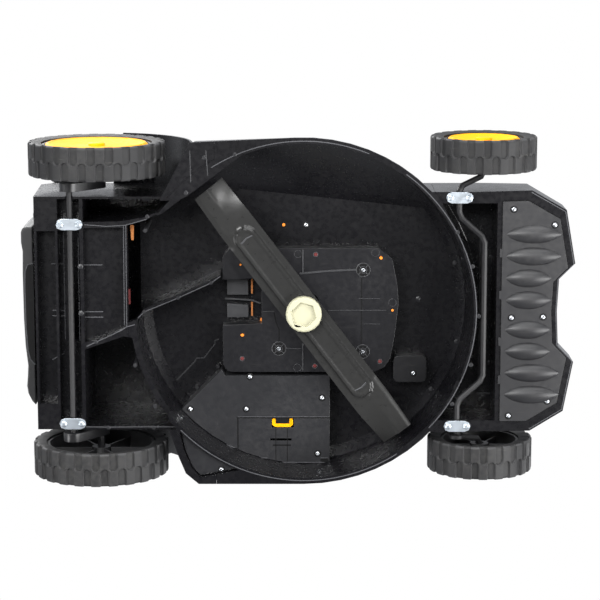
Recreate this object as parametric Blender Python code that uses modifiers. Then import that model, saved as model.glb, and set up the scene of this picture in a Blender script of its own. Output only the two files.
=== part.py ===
# Cordless rotary lawn mower, seen mostly from below: moulded deck, crank axles, wheels, blade and folded handle.
# Metres, +Z up, +X towards the mower's front, +Y towards its left side, origin on the ground under the middle.
import math

import bmesh
import bpy
from mathutils import Matrix, Vector

for leftover in list(bpy.data.objects):
    bpy.data.objects.remove(leftover, do_unlink=True)

# Fits
GAP = 0.0003
RUNNING = 0.0006

# Cutter
BLADE_LONG = 0.400
BLADE_WIDE = 0.048
BLADE_THICK = 0.003
BLADE_Z = 0.052
BLADE_ANGLE = math.atan2(0.796, 0.606)
BLADE_TIP_ROOM = 0.017
SHAFT_R = 0.006
MOTOR_R = 0.052
MOTOR_PLATE_Z = 0.095
TRAY_RIGHT = 0.135
COVER_Z = 0.090
BOLT_POSTS = ((0.089, -0.048), (0.089, 0.060), (-0.020, 0.056), (-0.020, -0.052))

# Deck
WALL = 0.003
RIM_Z = 0.032
RIM_LIP = 0.0035
RIM_LIP_HEIGHT = 0.004
CEILING_Z = 0.120
ROOF_Z = CEILING_Z + 0.004
CHAMBER_X = 0.012
CHAMBER_Y = -0.003
CHAMBER_R = BLADE_LONG / 2 + BLADE_TIP_ROOM
CHAMBER_DRAFT = 0.007
CHAMBER_CORNER = 0.012
SKIRT_R = CHAMBER_R + WALL
DRUM_FRONT = CHAMBER_X + SKIRT_R
DRUM_BACK = CHAMBER_X - SKIRT_R
DRUM_LEFT = CHAMBER_Y + SKIRT_R
DRUM_RIGHT = CHAMBER_Y - SKIRT_R
DRUM_ZONE_R = SKIRT_R + RIM_LIP + 0.003
DRUM_ZONE_REAR = -0.100
DRUM_ZONE_FRONT = 0.100
CREASE_Y = DRUM_RIGHT + 0.0798
CREASE_TURN = math.radians(6)
ROOF_PITCH = math.radians(35.5)
BODY_LEFT = 0.152
BODY_RIGHT = 0.002 - BODY_LEFT
BODY_REAR = DRUM_BACK - 0.122
BODY_TOP = 0.185
BODY_BOTTOM = 0.0475
CHUTE_RIGHT = -0.1145
CHUTE_LEFT = 0.040
CHUTE_FLOOR_Z = 0.0635
CORNER_Z = 0.040
FLAP_X = BODY_REAR - 0.0105
FLAP_Z = 0.1775
NOSE_X = DRUM_FRONT + 0.123
NOSE_RIGHT = BODY_RIGHT - 0.008
NOSE_LEFT = BODY_LEFT - 0.001
FRONT_PANEL_REAR = DRUM_FRONT + 0.030
SWELLINGS = 8
SWELLING_FIRST = -0.1075
SWELLING_PITCH = 0.0283

# Wheels and axles
REAR_WHEEL_R = 0.0875
FENDER_R = REAR_WHEEL_R + 0.0345
FRONT_WHEEL_R = 0.0675
WHEEL_WIDTH = 0.0430
STUB_BACK = 0.0145
REAR_NOTCHES = 24
FRONT_NOTCHES = 20
FRONT_WHEEL_X = DRUM_FRONT + 0.008
ARM_INNER = BODY_LEFT + 0.0045
ARM_OUTER = ARM_INNER + 0.0110
REAR_WHEEL_INNER = ARM_OUTER + 0.0063
FRONT_LEFT_INNER = ARM_INNER + 0.0080
FRONT_RIGHT_INNER = FRONT_LEFT_INNER + 0.0183
ROD_R = 0.004
REAR_ROD_X = DRUM_BACK - 0.077
REAR_WHEEL_X = REAR_ROD_X + 0.0325
REAR_ROD_Z = BODY_BOTTOM + ROD_R
FRONT_ROD_X = FRONT_WHEEL_X - 0.032
FRONT_ROD_Z = RIM_Z + ROD_R
FRONT_BOW = 0.0325
CLAMP_LONG = 0.034
CLAMP_WIDE = 0.0144
CLAMP_THICK = 0.002
LINK_ARM = 0.106
LINK_INNER = BODY_LEFT + 0.0007
LINK_OUTER = ARM_INNER - 0.0004
LINK_PIN_R = 0.003
LEVER_RISE = math.radians(57.45)
LEVER_KNOB_R = 0.015

# Upper works
COWL_TOP = 0.245
BAY_TOP = 0.262
BAY_REAR = BODY_REAR + 0.085
LID_X = -0.1005
LID_Z = BAY_TOP + 0.0045
HANDLE_PIVOT_X = BODY_REAR + 0.018
HANDLE_PIVOT_Z = 0.212
HANDLE_FOLD_X = 0.110
HANDLE_FOLD_Z = 0.226
HANDLE_EDGE = BODY_LEFT - 0.0055
BRACKET_THICK = 0.005
TUBE_R = 0.010
LOWER_TUBE_Y = HANDLE_EDGE - BRACKET_THICK - GAP - TUBE_R
UPPER_TUBE_Y = LOWER_TUBE_Y - 2 * TUBE_R - 0.001
GRIP_X = BODY_REAR + 0.058
GRIP_Z = 0.236
BOLT_R = 0.003
KNOB_SIDES = 12
SWITCH_REAR = GRIP_X - 0.021
SWITCH_LOW = GRIP_Z - 0.030
SWITCH_HIGH = GRIP_Z + 0.0125
BUTTON_Z = SWITCH_LOW + 0.016
BAIL_X = GRIP_X + 0.060
BAIL_Z = HANDLE_FOLD_Z + (HANDLE_FOLD_X - BAIL_X) * (GRIP_Z - HANDLE_FOLD_Z) / (HANDLE_FOLD_X - GRIP_X)
BAIL_LONG = 0.060
BAIL_RISE = math.radians(38)

BLACK = (0.020, 0.020, 0.023)
GREY = (0.045, 0.045, 0.048)
YELLOW = (0.98, 0.53, 0.005)
ZINC = (0.55, 0.60, 0.66)
STEEL = (0.32, 0.32, 0.33)
CREAM = (0.80, 0.80, 0.62)

mower = bpy.data.collections.new("lawn_mower")
cutters = bpy.data.collections.new("cutters")
bpy.context.scene.collection.children.link(mower)
bpy.context.scene.collection.children.link(cutters)


def finish(thing, colour, roughness=0.5, metallic=0.0):
    """Give a piece its own Principled material."""
    material = bpy.data.materials.new(thing.name)
    material.use_nodes = True
    shader = material.node_tree.nodes["Principled BSDF"]
    shader.inputs["Base Color"].default_value = (*colour, 1.0)
    shader.inputs["Roughness"].default_value = roughness
    shader.inputs["Metallic"].default_value = metallic
    thing.data.materials.clear()
    thing.data.materials.append(material)
    return thing


def as_cutter(thing):
    """Move an object to the cutters, out of the model."""
    for home in list(thing.users_collection):
        home.objects.unlink(thing)
    cutters.objects.link(thing)
    thing.hide_render = True
    thing.display_type = "WIRE"
    return thing


def combine(target, tool, operation="DIFFERENCE"):
    """Cut, join or intersect a target with a tool object."""
    step = target.modifiers.new(tool.name, "BOOLEAN")
    step.operation = operation
    step.solver = "EXACT"
    step.object = tool
    as_cutter(tool)


def from_bmesh(name, shape):
    """Turn a finished bmesh into a linked object."""
    bmesh.ops.recalc_face_normals(shape, faces=shape.faces)
    mesh = bpy.data.meshes.new(name)
    shape.to_mesh(mesh)
    shape.free()
    thing = bpy.data.objects.new(name, mesh)
    mower.objects.link(thing)
    return thing


def box(name, low, high):
    """A plain block between two corners."""
    shape = bmesh.new()
    bmesh.ops.create_cube(shape, size=1.0)
    size = [top - bottom for bottom, top in zip(low, high)]
    bmesh.ops.scale(shape, vec=size, verts=shape.verts)
    thing = from_bmesh(name, shape)
    thing.location = [(bottom + top) / 2 for bottom, top in zip(low, high)]
    return thing


def settle(curve_thing, name):
    """Make a curve a welded mesh object in the same place."""
    bpy.context.view_layer.update()
    graph = bpy.context.evaluated_depsgraph_get()
    mesh = bpy.data.meshes.new_from_object(curve_thing.evaluated_get(graph))
    shape = bmesh.new()
    shape.from_mesh(mesh)
    bmesh.ops.remove_doubles(shape, verts=shape.verts, dist=1e-6)
    bmesh.ops.recalc_face_normals(shape, faces=shape.faces)
    shape.to_mesh(mesh)
    shape.free()
    thing = bpy.data.objects.new(name, mesh)
    thing.matrix_world = curve_thing.matrix_world
    mower.objects.link(thing)
    bpy.data.objects.remove(curve_thing, do_unlink=True)
    mesh.name = name
    return thing


def plate(name, outlines, low, high, along="Z"):
    """A flat outline, with any holes, given a thickness along one axis.

    The outline is drawn in XY for Z, in XZ for Y and in YZ for X."""
    flat = bpy.data.curves.new(name, "CURVE")
    flat.dimensions = "2D"
    flat.fill_mode = "BOTH"
    flat.extrude = (high - low) / 2
    for outline in outlines:
        line = flat.splines.new("POLY")
        line.points.add(len(outline) - 1)
        for point, (u, v) in zip(line.points, outline):
            point.co = (u, v, 0.0, 1.0)
        line.use_cyclic_u = True
    thing = bpy.data.objects.new(name + "_outline", flat)
    middle = (low + high) / 2
    if along == "Z":
        thing.location = (0, 0, middle)
    elif along == "Y":
        thing.rotation_euler = (math.pi / 2, 0, 0)
        thing.location = (0, middle, 0)
    else:
        thing.rotation_euler = (math.pi / 2, 0, math.pi / 2)
        thing.location = (middle, 0, 0)
    mower.objects.link(thing)
    return settle(thing, name)


def turned(name, profile, steps, centre=(0, 0, 0), along="Z"):
    """A profile of (radius, height) pairs spun about an axis through centre."""
    mesh = bpy.data.meshes.new(name)
    closed = profile[0][0] > 1e-9
    edges = [(i, i + 1) for i in range(len(profile) - 1)]
    if closed:
        edges.append((len(profile) - 1, 0))
    mesh.from_pydata([(radius, 0, height) for radius, height in profile], edges, [])
    thing = bpy.data.objects.new(name, mesh)
    spin = thing.modifiers.new("turn", "SCREW")
    spin.steps = steps
    spin.render_steps = steps
    spin.use_merge_vertices = True
    spin.merge_threshold = 0.00001
    spin.use_smooth_shade = True
    thing.location = centre
    if along == "Y":
        thing.rotation_euler = (-math.pi / 2, 0, 0)
    if along == "-Y":
        thing.rotation_euler = (math.pi / 2, 0, 0)
    mower.objects.link(thing)
    return thing


def tube(name, points, radius, sides=2, closed=False):
    """A round rod or tube bent along points."""
    wire = bpy.data.curves.new(name, "CURVE")
    wire.dimensions = "3D"
    wire.bevel_depth = radius
    wire.bevel_resolution = sides
    wire.use_fill_caps = not closed
    line = wire.splines.new("POLY")
    line.points.add(len(points) - 1)
    for point, place in zip(line.points, points):
        point.co = (*place, 1.0)
    line.use_cyclic_u = closed
    line.use_smooth = True
    thing = bpy.data.objects.new(name, wire)
    mower.objects.link(thing)
    return thing


def arc(centre, radius, start, end, steps):
    """Points along an arc, angles in degrees."""
    angles = [math.radians(start + (end - start) * i / steps) for i in range(steps + 1)]
    return [(centre[0] + radius * math.cos(a), centre[1] + radius * math.sin(a)) for a in angles]


def stadium(long, wide, centre=(0, 0), angle=0.0, steps=6):
    """A slot outline with round ends."""
    half = (long - wide) / 2
    right = arc((half, 0), wide / 2, -90, 90, steps)
    left = arc((-half, 0), wide / 2, 90, 270, steps)
    turn = Matrix.Rotation(angle, 2)
    return [tuple(Vector(centre) + turn @ Vector(point)) for point in right + left]


def rounded(low, high, radius, steps=3):
    """A rectangle with round corners."""
    (x0, y0), (x1, y1) = low, high
    corners = [(x1 - radius, y1 - radius), (x0 + radius, y1 - radius), (x0 + radius, y0 + radius)]
    corners.append((x1 - radius, y0 + radius))
    outline = []
    for i, corner in enumerate(corners):
        outline += arc(corner, radius, 90 * i, 90 * i + 90, steps)
    return outline


def bend(points, radius, steps=3):
    """Round the inner corners of a run of 3-D points."""
    path = [Vector(points[0])]
    for before, corner, after in zip(points, points[1:], points[2:]):
        corner = Vector(corner)
        back = (Vector(before) - corner).normalized() * radius
        ahead = (Vector(after) - corner).normalized() * radius
        for i in range(steps + 1):
            t = i / steps
            path.append(corner + back * (1 - t) ** 2 + ahead * t ** 2)
    path.append(Vector(points[-1]))
    return [tuple(point) for point in path]


def pivot(name, place):
    """An empty on a joint's axis."""
    axis = bpy.data.objects.new(name, None)
    axis.location = place
    axis.empty_display_size = 0.02
    mower.objects.link(axis)
    return axis


def hang(axis, *things):
    """Parent pieces to a joint's empty, leaving them where they are."""
    for thing in things:
        thing.parent = axis
        thing.matrix_parent_inverse = Matrix.Translation(-Vector(axis.location))


# Deck: one moulding with the cutting chamber, the discharge channel, wheel arches and the nose.
def behind_drum(y, room):
    """The X that lies a given room behind the drum's zone, at one Y."""
    return CHAMBER_X - math.sqrt(DRUM_ZONE_R ** 2 - (y - CHAMBER_Y) ** 2) - room


def skirt_outline(grow):
    """The plan of the chamber's skirt, grown outwards by a lip."""
    centre = (CHAMBER_X, CHAMBER_Y)
    radius = SKIRT_R + grow
    right_y, left_y = BODY_RIGHT + 0.010, BODY_LEFT - 0.002
    right = [(behind_drum(right_y, 0.005), right_y), (DRUM_BACK + 0.081 - grow, CHAMBER_Y - radius + 0.006)]
    front = arc(centre, radius, -93, 90, 30)
    edge = CHAMBER_Y + radius
    left = [
        (DRUM_BACK + 0.085, edge), (DRUM_BACK + 0.072 - grow, edge - 0.014),
        (DRUM_BACK + 0.063 - grow, edge - 0.036), (behind_drum(left_y, 0.005), left_y),
    ]
    return right + front + left


def nose_outline(shrink):
    """The plan of the nose, with its two side lobes."""
    tip = NOSE_X
    back = DRUM_FRONT - 0.082
    side = [(back, NOSE_RIGHT), (tip - 0.129, NOSE_RIGHT), (tip - 0.056, -0.160), (tip - 0.012, -0.135)]
    lobes = [(tip, -0.067), (tip - 0.020, -0.047), (tip - 0.022, -0.005), (tip - 0.020, 0.039), (tip, 0.060)]
    outline = side + lobes + [(tip - 0.012, 0.124), (tip - 0.054, 0.150), (tip - 0.129, NOSE_LEFT), (back, 0.152)]
    middle = Vector((tip - 0.110, -0.004))
    scale = 1 - shrink / 0.100
    return [tuple(middle + (Vector(point) - middle) * scale) for point in outline]


def slice_off(thing, point, normal):
    """Plane off what lies on the normal's side of a point."""
    shape = bmesh.new()
    shape.from_mesh(thing.data)
    bmesh.ops.transform(shape, matrix=thing.matrix_world, verts=shape.verts)
    geometry = shape.verts[:] + shape.edges[:] + shape.faces[:]
    bmesh.ops.bisect_plane(shape, geom=geometry, plane_co=point, plane_no=normal, clear_outer=True, dist=1e-7)
    rim = [edge for edge in shape.edges if edge.is_boundary]
    bmesh.ops.holes_fill(shape, edges=rim, sides=0)
    bmesh.ops.recalc_face_normals(shape, faces=shape.faces)
    shape.to_mesh(thing.data)
    shape.free()
    thing.matrix_world = Matrix.Identity(4)


def roof_fall():
    """The direction square to the sloped part of the roof."""
    away = Vector((math.sin(CREASE_TURN), -math.cos(CREASE_TURN))) * math.sin(ROOF_PITCH)
    return Vector((away.x, away.y, math.cos(ROOF_PITCH)))


def chamber_space(name, ease):
    """The room inside the cutting chamber, eased back from its walls."""
    radius = CHAMBER_R - ease
    shoulder = radius - CHAMBER_DRAFT
    profile = [
        (0, CEILING_Z), (shoulder - CHAMBER_CORNER, CEILING_Z), (shoulder, CEILING_Z - CHAMBER_CORNER),
        (radius, 0.020), (0, 0.020),
    ]
    return turned(name, profile, 52, (CHAMBER_X, CHAMBER_Y, 0))


def wall_along(name, points, thick, low, high):
    """An upright wall that follows a run of plan points."""
    first, last = [], []
    for i, point in enumerate(points):
        before = Vector(points[max(i - 1, 0)])
        after = Vector(points[min(i + 1, len(points) - 1)])
        run = (after - before).normalized()
        side = Vector((-run.y, run.x)) * thick / 2
        first.append(tuple(Vector(point) + side))
        last.append(tuple(Vector(point) - side))
    return plate(name, [first + last[::-1]], low, high)


def add_deck_details(moulding):
    """Guide wall in the chute, recess under the chute floor, flap ears and the corner recess."""
    back = DRUM_BACK
    guide = [
        (back + 0.1130, -0.0443), (back + 0.102, -0.039), (back + 0.060, -0.020), (back + 0.016, -0.001),
        (back + 0.0025, 0.0165),
    ]
    combine(moulding, wall_along("chute_guide", guide, 0.0026, 0.068, CEILING_Z + 0.002), "UNION")
    recess = [
        (back - 0.060, -0.110), (back - 0.008, -0.110), (back - 0.008, 0.020), (back - 0.042, 0.034),
        (back - 0.060, 0.038),
    ]
    combine(moulding, plate("chute_recess", [recess], 0.020, CHUTE_FLOOR_Z - WALL))
    combine(moulding, box("flap_mouth", (BODY_REAR - 0.030, CHUTE_RIGHT, 0.0855),
                          (BODY_REAR + 0.050, 0.120, 0.164)))
    ear = [
        (FLAP_X + 0.0245, FLAP_Z + 0.0065), (FLAP_X + 0.0065, FLAP_Z - 0.0175), (FLAP_X - 0.0050, FLAP_Z - 0.0075),
        (FLAP_X - 0.0060, FLAP_Z + 0.0035), (FLAP_X + 0.0045, FLAP_Z + 0.0105),
    ]
    for number, y in enumerate((-0.1110, 0.1310)):
        combine(moulding, plate(f"flap_ear_{number}", [ear], y, y + 0.004, "Y"), "UNION")
    combine(moulding, turned("flap_rod_hole", [(0, 0.2), (0.0023, 0.2), (0.0023, -0.2), (0, -0.2)], 10,
                             (FLAP_X, 0, FLAP_Z), "Y"))
    combine(moulding, plate("corner_recess", [corner_outline(0)], 0.020, CORNER_Z + WALL + GAP))


def corner_outline(ease):
    """The plan of the low corner behind the chamber, on the left."""
    outline = arc((CHAMBER_X, CHAMBER_Y), CHAMBER_R + 0.0045, 112, 136, 6)
    outline += [
        (DRUM_BACK + 0.066, DRUM_LEFT - 0.0410), (DRUM_BACK + 0.076, DRUM_LEFT - 0.0170),
        (DRUM_BACK + 0.087, DRUM_LEFT - 0.0045),
    ]
    middle = Vector((DRUM_BACK + 0.088, DRUM_LEFT - 0.0240))
    return [tuple(middle + (Vector(point) - middle) * (1 - ease / 0.008)) for point in outline]


def make_shell():
    """The whole moulding before it is parted."""
    back = DRUM_BACK
    moulding = plate("shell", [skirt_outline(0)], RIM_Z, ROOF_Z)
    slice_off(moulding, (0, CREASE_Y, CEILING_Z + WALL / math.cos(ROOF_PITCH)), roof_fall())
    lip = plate("rim_lip", [skirt_outline(RIM_LIP)], RIM_Z, RIM_Z + RIM_LIP_HEIGHT)
    combine(moulding, lip, "UNION")

    rear_side = [
        (BODY_REAR, BODY_BOTTOM), (back + 0.068, BODY_BOTTOM), (back + 0.068, 0.100), (-0.099, 0.112),
        (-0.099, 0.176), (-0.106, BODY_TOP), (BODY_REAR + 0.012, BODY_TOP), (BODY_REAR - 0.004, 0.170),
    ]
    combine(moulding, plate("rear_block", [rear_side], BODY_RIGHT, BODY_LEFT, "Y"), "UNION")

    nose = plate("nose_block", [nose_outline(0)], RIM_Z, ROOF_Z - 0.002)
    slice_off(nose, (DRUM_FRONT + 0.003, 0, ROOF_Z - 0.002), (0.035, 0, 0.100))
    combine(moulding, nose, "UNION")

    inner, outer_face = REAR_WHEEL_INNER - 0.0048, REAR_WHEEL_INNER + 0.0407
    for side, low, high in (("left", inner, outer_face), ("right", -outer_face, BODY_RIGHT + 0.001)):
        centre = (REAR_WHEEL_X, REAR_WHEEL_R)
        outer = arc(centre, FENDER_R, 4, 78, 10)
        under = arc(centre, FENDER_R - WALL, 78, 4, 10)
        combine(moulding, plate("fender_" + side, [outer + under], low, high, "Y"), "UNION")

    chamber = settle(chamber_space("chamber", 0), "chamber_cut")
    slice_off(chamber, (0, CREASE_Y, CEILING_Z), roof_fall())
    slice_off(chamber, (CHAMBER_X - 0.062, DRUM_RIGHT + 0.0065, 0), (-0.0875, -0.116, 0))
    combine(moulding, chamber)

    mouth = [
        (back + 0.148, -0.190), (back + 0.066, -0.149), (back + 0.042, -0.131), (back + 0.018, -0.120),
        (back - 0.004, CHUTE_RIGHT), (back - 0.004, 0.012), (back + 0.020, 0.004), (back + 0.128, -0.050),
    ]
    mouth_cut = plate("chute_mouth", [mouth], 0.020, CEILING_Z)
    slice_off(mouth_cut, (0, CREASE_Y, CEILING_Z), roof_fall())
    combine(moulding, mouth_cut)
    channel = [
        (back + 0.008, CHUTE_FLOOR_Z), (back - 0.067, CHUTE_FLOOR_Z), (back - 0.092, 0.078),
        (BODY_REAR - 0.030, 0.083), (BODY_REAR - 0.030, 0.164), (back - 0.042, 0.178), (back - 0.007, 0.150),
        (back + 0.008, CEILING_Z - 0.001),
    ]
    combine(moulding, plate("channel", [channel], CHUTE_RIGHT, CHUTE_LEFT, "Y"))

    pocket_side = BODY_LEFT - WALL
    left_pocket = [(back - 0.060, 0.047), (back - 0.0105, 0.030)]
    pocket_r = SKIRT_R + 0.002
    meet = 180 - math.degrees(math.asin((pocket_side - CHAMBER_Y - 0.0006) / pocket_r))
    left_pocket += arc((CHAMBER_X, CHAMBER_Y), pocket_r, 171, meet, 6)
    left_pocket += [(left_pocket[-1][0] - 0.0015, pocket_side), (back - 0.060, pocket_side)]
    combine(moulding, plate("rear_left_pocket", [left_pocket], 0.020, BODY_TOP - WALL))
    right_wall = BODY_RIGHT + WALL
    right_pocket = [
        (back - 0.060, CHUTE_RIGHT - WALL), (back - 0.012, CHUTE_RIGHT - WALL - 0.001), (back + 0.018, -0.1235),
        (back + 0.036, -0.1310), (back + 0.051, right_wall), (back - 0.060, right_wall),
    ]
    combine(moulding, plate("rear_right_pocket", [right_pocket], 0.020, BODY_TOP - WALL))

    bay_y = (
        (CHUTE_RIGHT + CLAMP_WIDE / 2, BODY_LEFT - 0.005 - CLAMP_WIDE / 2),
        (right_wall, CHUTE_RIGHT - CLAMP_WIDE / 2),
    )
    for number, (low, high) in enumerate(bay_y):
        combine(moulding, box(f"axle_bay_{number}", (REAR_ROD_X - 0.0155, low, 0.02),
                              (REAR_ROD_X + 0.0125, high, CHUTE_FLOOR_Z + 0.006)))
    combine(moulding, box("rear_bay", (BODY_REAR + WALL, -0.106, 0.02), (REAR_ROD_X - 0.0185, 0.118, 0.070)))
    slot = ROD_R + RUNNING
    combine(moulding, box("rear_rod_slot", (REAR_ROD_X - slot, -0.2, 0.02),
                          (REAR_ROD_X + slot, 0.2, REAR_ROD_Z + slot)))

    front_low = NOSE_RIGHT + CLAMP_WIDE
    front_high = NOSE_LEFT - CLAMP_WIDE
    pocket_front = DRUM_FRONT + 0.024
    front_pocket = arc((CHAMBER_X, CHAMBER_Y), SKIRT_R + 0.0005, -40, 39, 12)
    front_pocket = [point for point in front_pocket if front_low < point[1] < front_high]
    front_pocket += [(DRUM_FRONT - 0.044, front_high), (pocket_front, front_high), (pocket_front, front_low)]
    front_pocket.append((DRUM_FRONT - 0.046, front_low))
    combine(moulding, plate("front_pocket", [front_pocket], 0.020, 0.100))
    combine(moulding, box("front_rod_slot", (FRONT_ROD_X - slot, -0.2, 0.02),
                          (FRONT_ROD_X + slot, 0.2, FRONT_ROD_Z + slot)))
    nose_hollow = plate("nose_hollow", [nose_outline(0.008)], 0.020, 0.100)
    slice_off(nose_hollow, (DRUM_FRONT + 0.003, 0, ROOF_Z - 0.008), (0.035, 0, 0.100))
    slice_off(nose_hollow, (FRONT_PANEL_REAR, 0, 0), (-1, 0, 0))
    combine(moulding, nose_hollow)

    hole = [(0, 0.15), (MOTOR_R - 0.004, 0.15), (MOTOR_R - 0.004, 0.10), (0, 0.10)]
    combine(moulding, turned("motor_hole", hole, 24, (CHAMBER_X, 0, 0)))
    add_deck_details(moulding)
    return settle(moulding, "shell_whole")


def drum_zone(name, ease):
    """The room that belongs to the drum round the blade, below the top of its roof."""
    top = ROOF_Z + 0.001 + ease
    radius = DRUM_ZONE_R + ease
    zone = turned(name, [(0, top), (radius, top), (radius, -0.010), (0, -0.010)], 52, (CHAMBER_X, CHAMBER_Y, 0))
    wide = radius + 0.020
    low, high = (DRUM_ZONE_REAR - ease, -wide, -0.010), (DRUM_ZONE_FRONT, wide, top)
    combine(zone, box(name + "_sides", low, high), "UNION")
    return zone


def part_shell(shell):
    """Part the moulding into the drum round the blade, the rear body and the nose."""
    for name in ("deck", "rear_body", "nose"):
        piece = bpy.data.objects.new(name, shell.data.copy())
        mower.objects.link(piece)
        if name == "deck":
            combine(piece, drum_zone("deck_zone", 0), "INTERSECT")
        else:
            combine(piece, drum_zone(name + "_drum", GAP))
            wide = DRUM_ZONE_R + 0.020
            low, high = (BODY_REAR - 0.070, DRUM_ZONE_REAR / 2)
            if name == "nose":
                low, high = (DRUM_ZONE_FRONT, NOSE_X + 0.045)
            combine(piece, box(name + "_zone", (low, -wide, -0.010), (high, wide, BODY_TOP + 0.065)), "INTERSECT")
        piece.data.shade_smooth()
        piece.data.set_sharp_from_angle(angle=math.radians(30))
        finish(piece, BLACK, 0.45)
    bpy.data.objects.remove(shell, do_unlink=True)


part_shell(make_shell())


def make_front_panel():
    """The underside of the nose, with eight boat-shaped swellings."""
    panel = plate("front_panel", [nose_outline(0.0085)], RIM_Z - 0.0015, RIM_Z + 0.0015)
    slice_off(panel, (FRONT_PANEL_REAR + GAP, 0, 0), (-1, 0, 0))
    for row in range(SWELLINGS):
        y = SWELLING_FIRST + row * SWELLING_PITCH + (0.0065 if row > 3 else 0)
        long = 0.068 if row in (0, 1, 6, 7) else 0.056
        hull = turned(f"swelling_{row}", [(0, 0.5), (0.33, 0.28), (0.42, 0), (0.33, -0.28), (0, -0.5)], 8)
        hull.rotation_euler = (0, math.pi / 2, 0)
        hull.scale = (0.022, 0.024, long)
        hull.location = (FRONT_PANEL_REAR + 0.006 + long / 2, y, RIM_Z + 0.001)
        combine(panel, hull, "UNION")
    return finish(panel, GREY, 0.6)


make_front_panel()


# Axles: bent steel rods that turn in slots in the deck, held up by four zinc clamp plates.
def make_clamp(name, x, y, z):
    clamp = plate(name, [stadium(CLAMP_LONG, CLAMP_WIDE, (x, y), steps=4)], z - CLAMP_THICK, z)
    for number, dx in enumerate((-0.0115, 0.0115)):
        head = [(0, 0), (0.0038, 0), (0.0038, -0.0016), (0.0022, -0.0028), (0, -0.0028)]
        screw = turned(f"{name}_screw_{number}", head, 8, (x + dx, y, z - CLAMP_THICK + 0.0002))
        combine(clamp, screw, "UNION")
    return finish(clamp, ZINC, 0.35, 0.9)


front_clamp_z = RIM_Z - GAP
rear_clamp_z = BODY_BOTTOM - GAP
make_clamp("front_right_clamp", FRONT_ROD_X, NOSE_RIGHT + 0.0072, front_clamp_z)
make_clamp("front_left_clamp", FRONT_ROD_X, NOSE_LEFT - 0.0070, front_clamp_z)
make_clamp("rear_right_clamp", REAR_ROD_X, CHUTE_RIGHT, rear_clamp_z)
make_clamp("rear_left_clamp", REAR_ROD_X, BODY_LEFT - 0.0075, rear_clamp_z)

rear_pivot = pivot("rear_axle_pivot", (REAR_ROD_X, 0, REAR_ROD_Z))
front_pivot = pivot("front_axle_pivot", (FRONT_ROD_X, 0, FRONT_ROD_Z))


def make_rear_axle():
    rod = tube("rear_axle", [(REAR_ROD_X, -ARM_OUTER, REAR_ROD_Z), (REAR_ROD_X, ARM_OUTER, REAR_ROD_Z)], ROD_R)
    hang(rear_pivot, rod)
    return finish(rod, GREY, 0.4, 0.7)


def arm_outline(start, end, start_r, end_r):
    """A link shape round two bosses, in the XZ plane."""
    along = Vector(end) - Vector(start)
    heading = math.degrees(math.atan2(along.y, along.x))
    first = arc(start, start_r, heading + 90, heading + 270, 8)
    return first + arc(end, end_r, heading - 90, heading + 90, 8)


def make_rear_arm(name, side):
    """A plastic crank arm with its stub axle, which carries a rear wheel."""
    low, high = sorted((side * ARM_INNER, side * ARM_OUTER))
    hub = (REAR_ROD_X, REAR_ROD_Z)
    wheel = (REAR_WHEEL_X, REAR_WHEEL_R)
    arm = plate(name, [arm_outline(hub, wheel, 0.0125, 0.0110)], low, high, "Y")
    reach = REAR_WHEEL_INNER + WHEEL_WIDTH - STUB_BACK
    stub = tube(name + "_stub", [(REAR_WHEEL_X, side * (ARM_INNER + 0.002), REAR_WHEEL_R),
                                 (REAR_WHEEL_X, side * reach, REAR_WHEEL_R)], 0.005)
    combine(arm, settle(stub, name + "_pin"), "UNION")
    return arm


def bore_arm(arm):
    """The hole that holds the axle's end."""
    profile = [(0, 1), (ROD_R + GAP, 1), (ROD_R + GAP, -1), (0, -1)]
    combine(arm, turned(arm.name + "_bore", profile, 12, (REAR_ROD_X, 0, REAR_ROD_Z), "Y"))


make_rear_axle()
right_arm = finish(make_rear_arm("rear_right_arm", -1), BLACK, 0.4)
bore_arm(right_arm)
left_arm = make_rear_arm("height_lever", 1)
hang(rear_pivot, right_arm, left_arm)


def add_lever(arm):
    """The height lever with its knob, and the lug that drives the link, stand up from the left crank arm."""
    hub = (REAR_ROD_X, REAR_ROD_Z)
    reach = FENDER_R + LEVER_KNOB_R + 0.002
    tip = (REAR_WHEEL_X + reach * math.cos(LEVER_RISE), REAR_WHEEL_R + reach * math.sin(LEVER_RISE))
    shank_plan = [arm_outline(hub, tip, 0.011, 0.007)]
    shank = plate("lever_shank", shank_plan, ARM_INNER + 0.0020, ARM_OUTER - 0.0025, "Y")
    combine(arm, shank, "UNION")
    profile = [(0, 0.066), (0.010, 0.062), (LEVER_KNOB_R, 0.042), (0.014, 0.006), (0.009, 0.0), (0, 0.0)]
    knob = turned("lever_knob", profile, 14, (tip[0], ARM_INNER + 0.0040, tip[1]), "Y")
    combine(arm, knob, "UNION")
    lug_top = (REAR_ROD_X, REAR_ROD_Z + LINK_ARM)
    lug = plate("link_lug", [arm_outline(hub, lug_top, 0.011, 0.0065)], ARM_INNER, ARM_INNER + 0.005, "Y")
    combine(arm, lug, "UNION")
    pin = [(0, 0.0050), (LINK_PIN_R, 0.0050), (LINK_PIN_R, 0.0), (0, 0.0)]
    combine(arm, turned("link_pin_rear", pin, 10, (lug_top[0], LINK_INNER, lug_top[1]), "Y"), "UNION")


add_lever(left_arm)
bore_arm(left_arm)
finish(left_arm, BLACK, 0.4)


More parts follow.
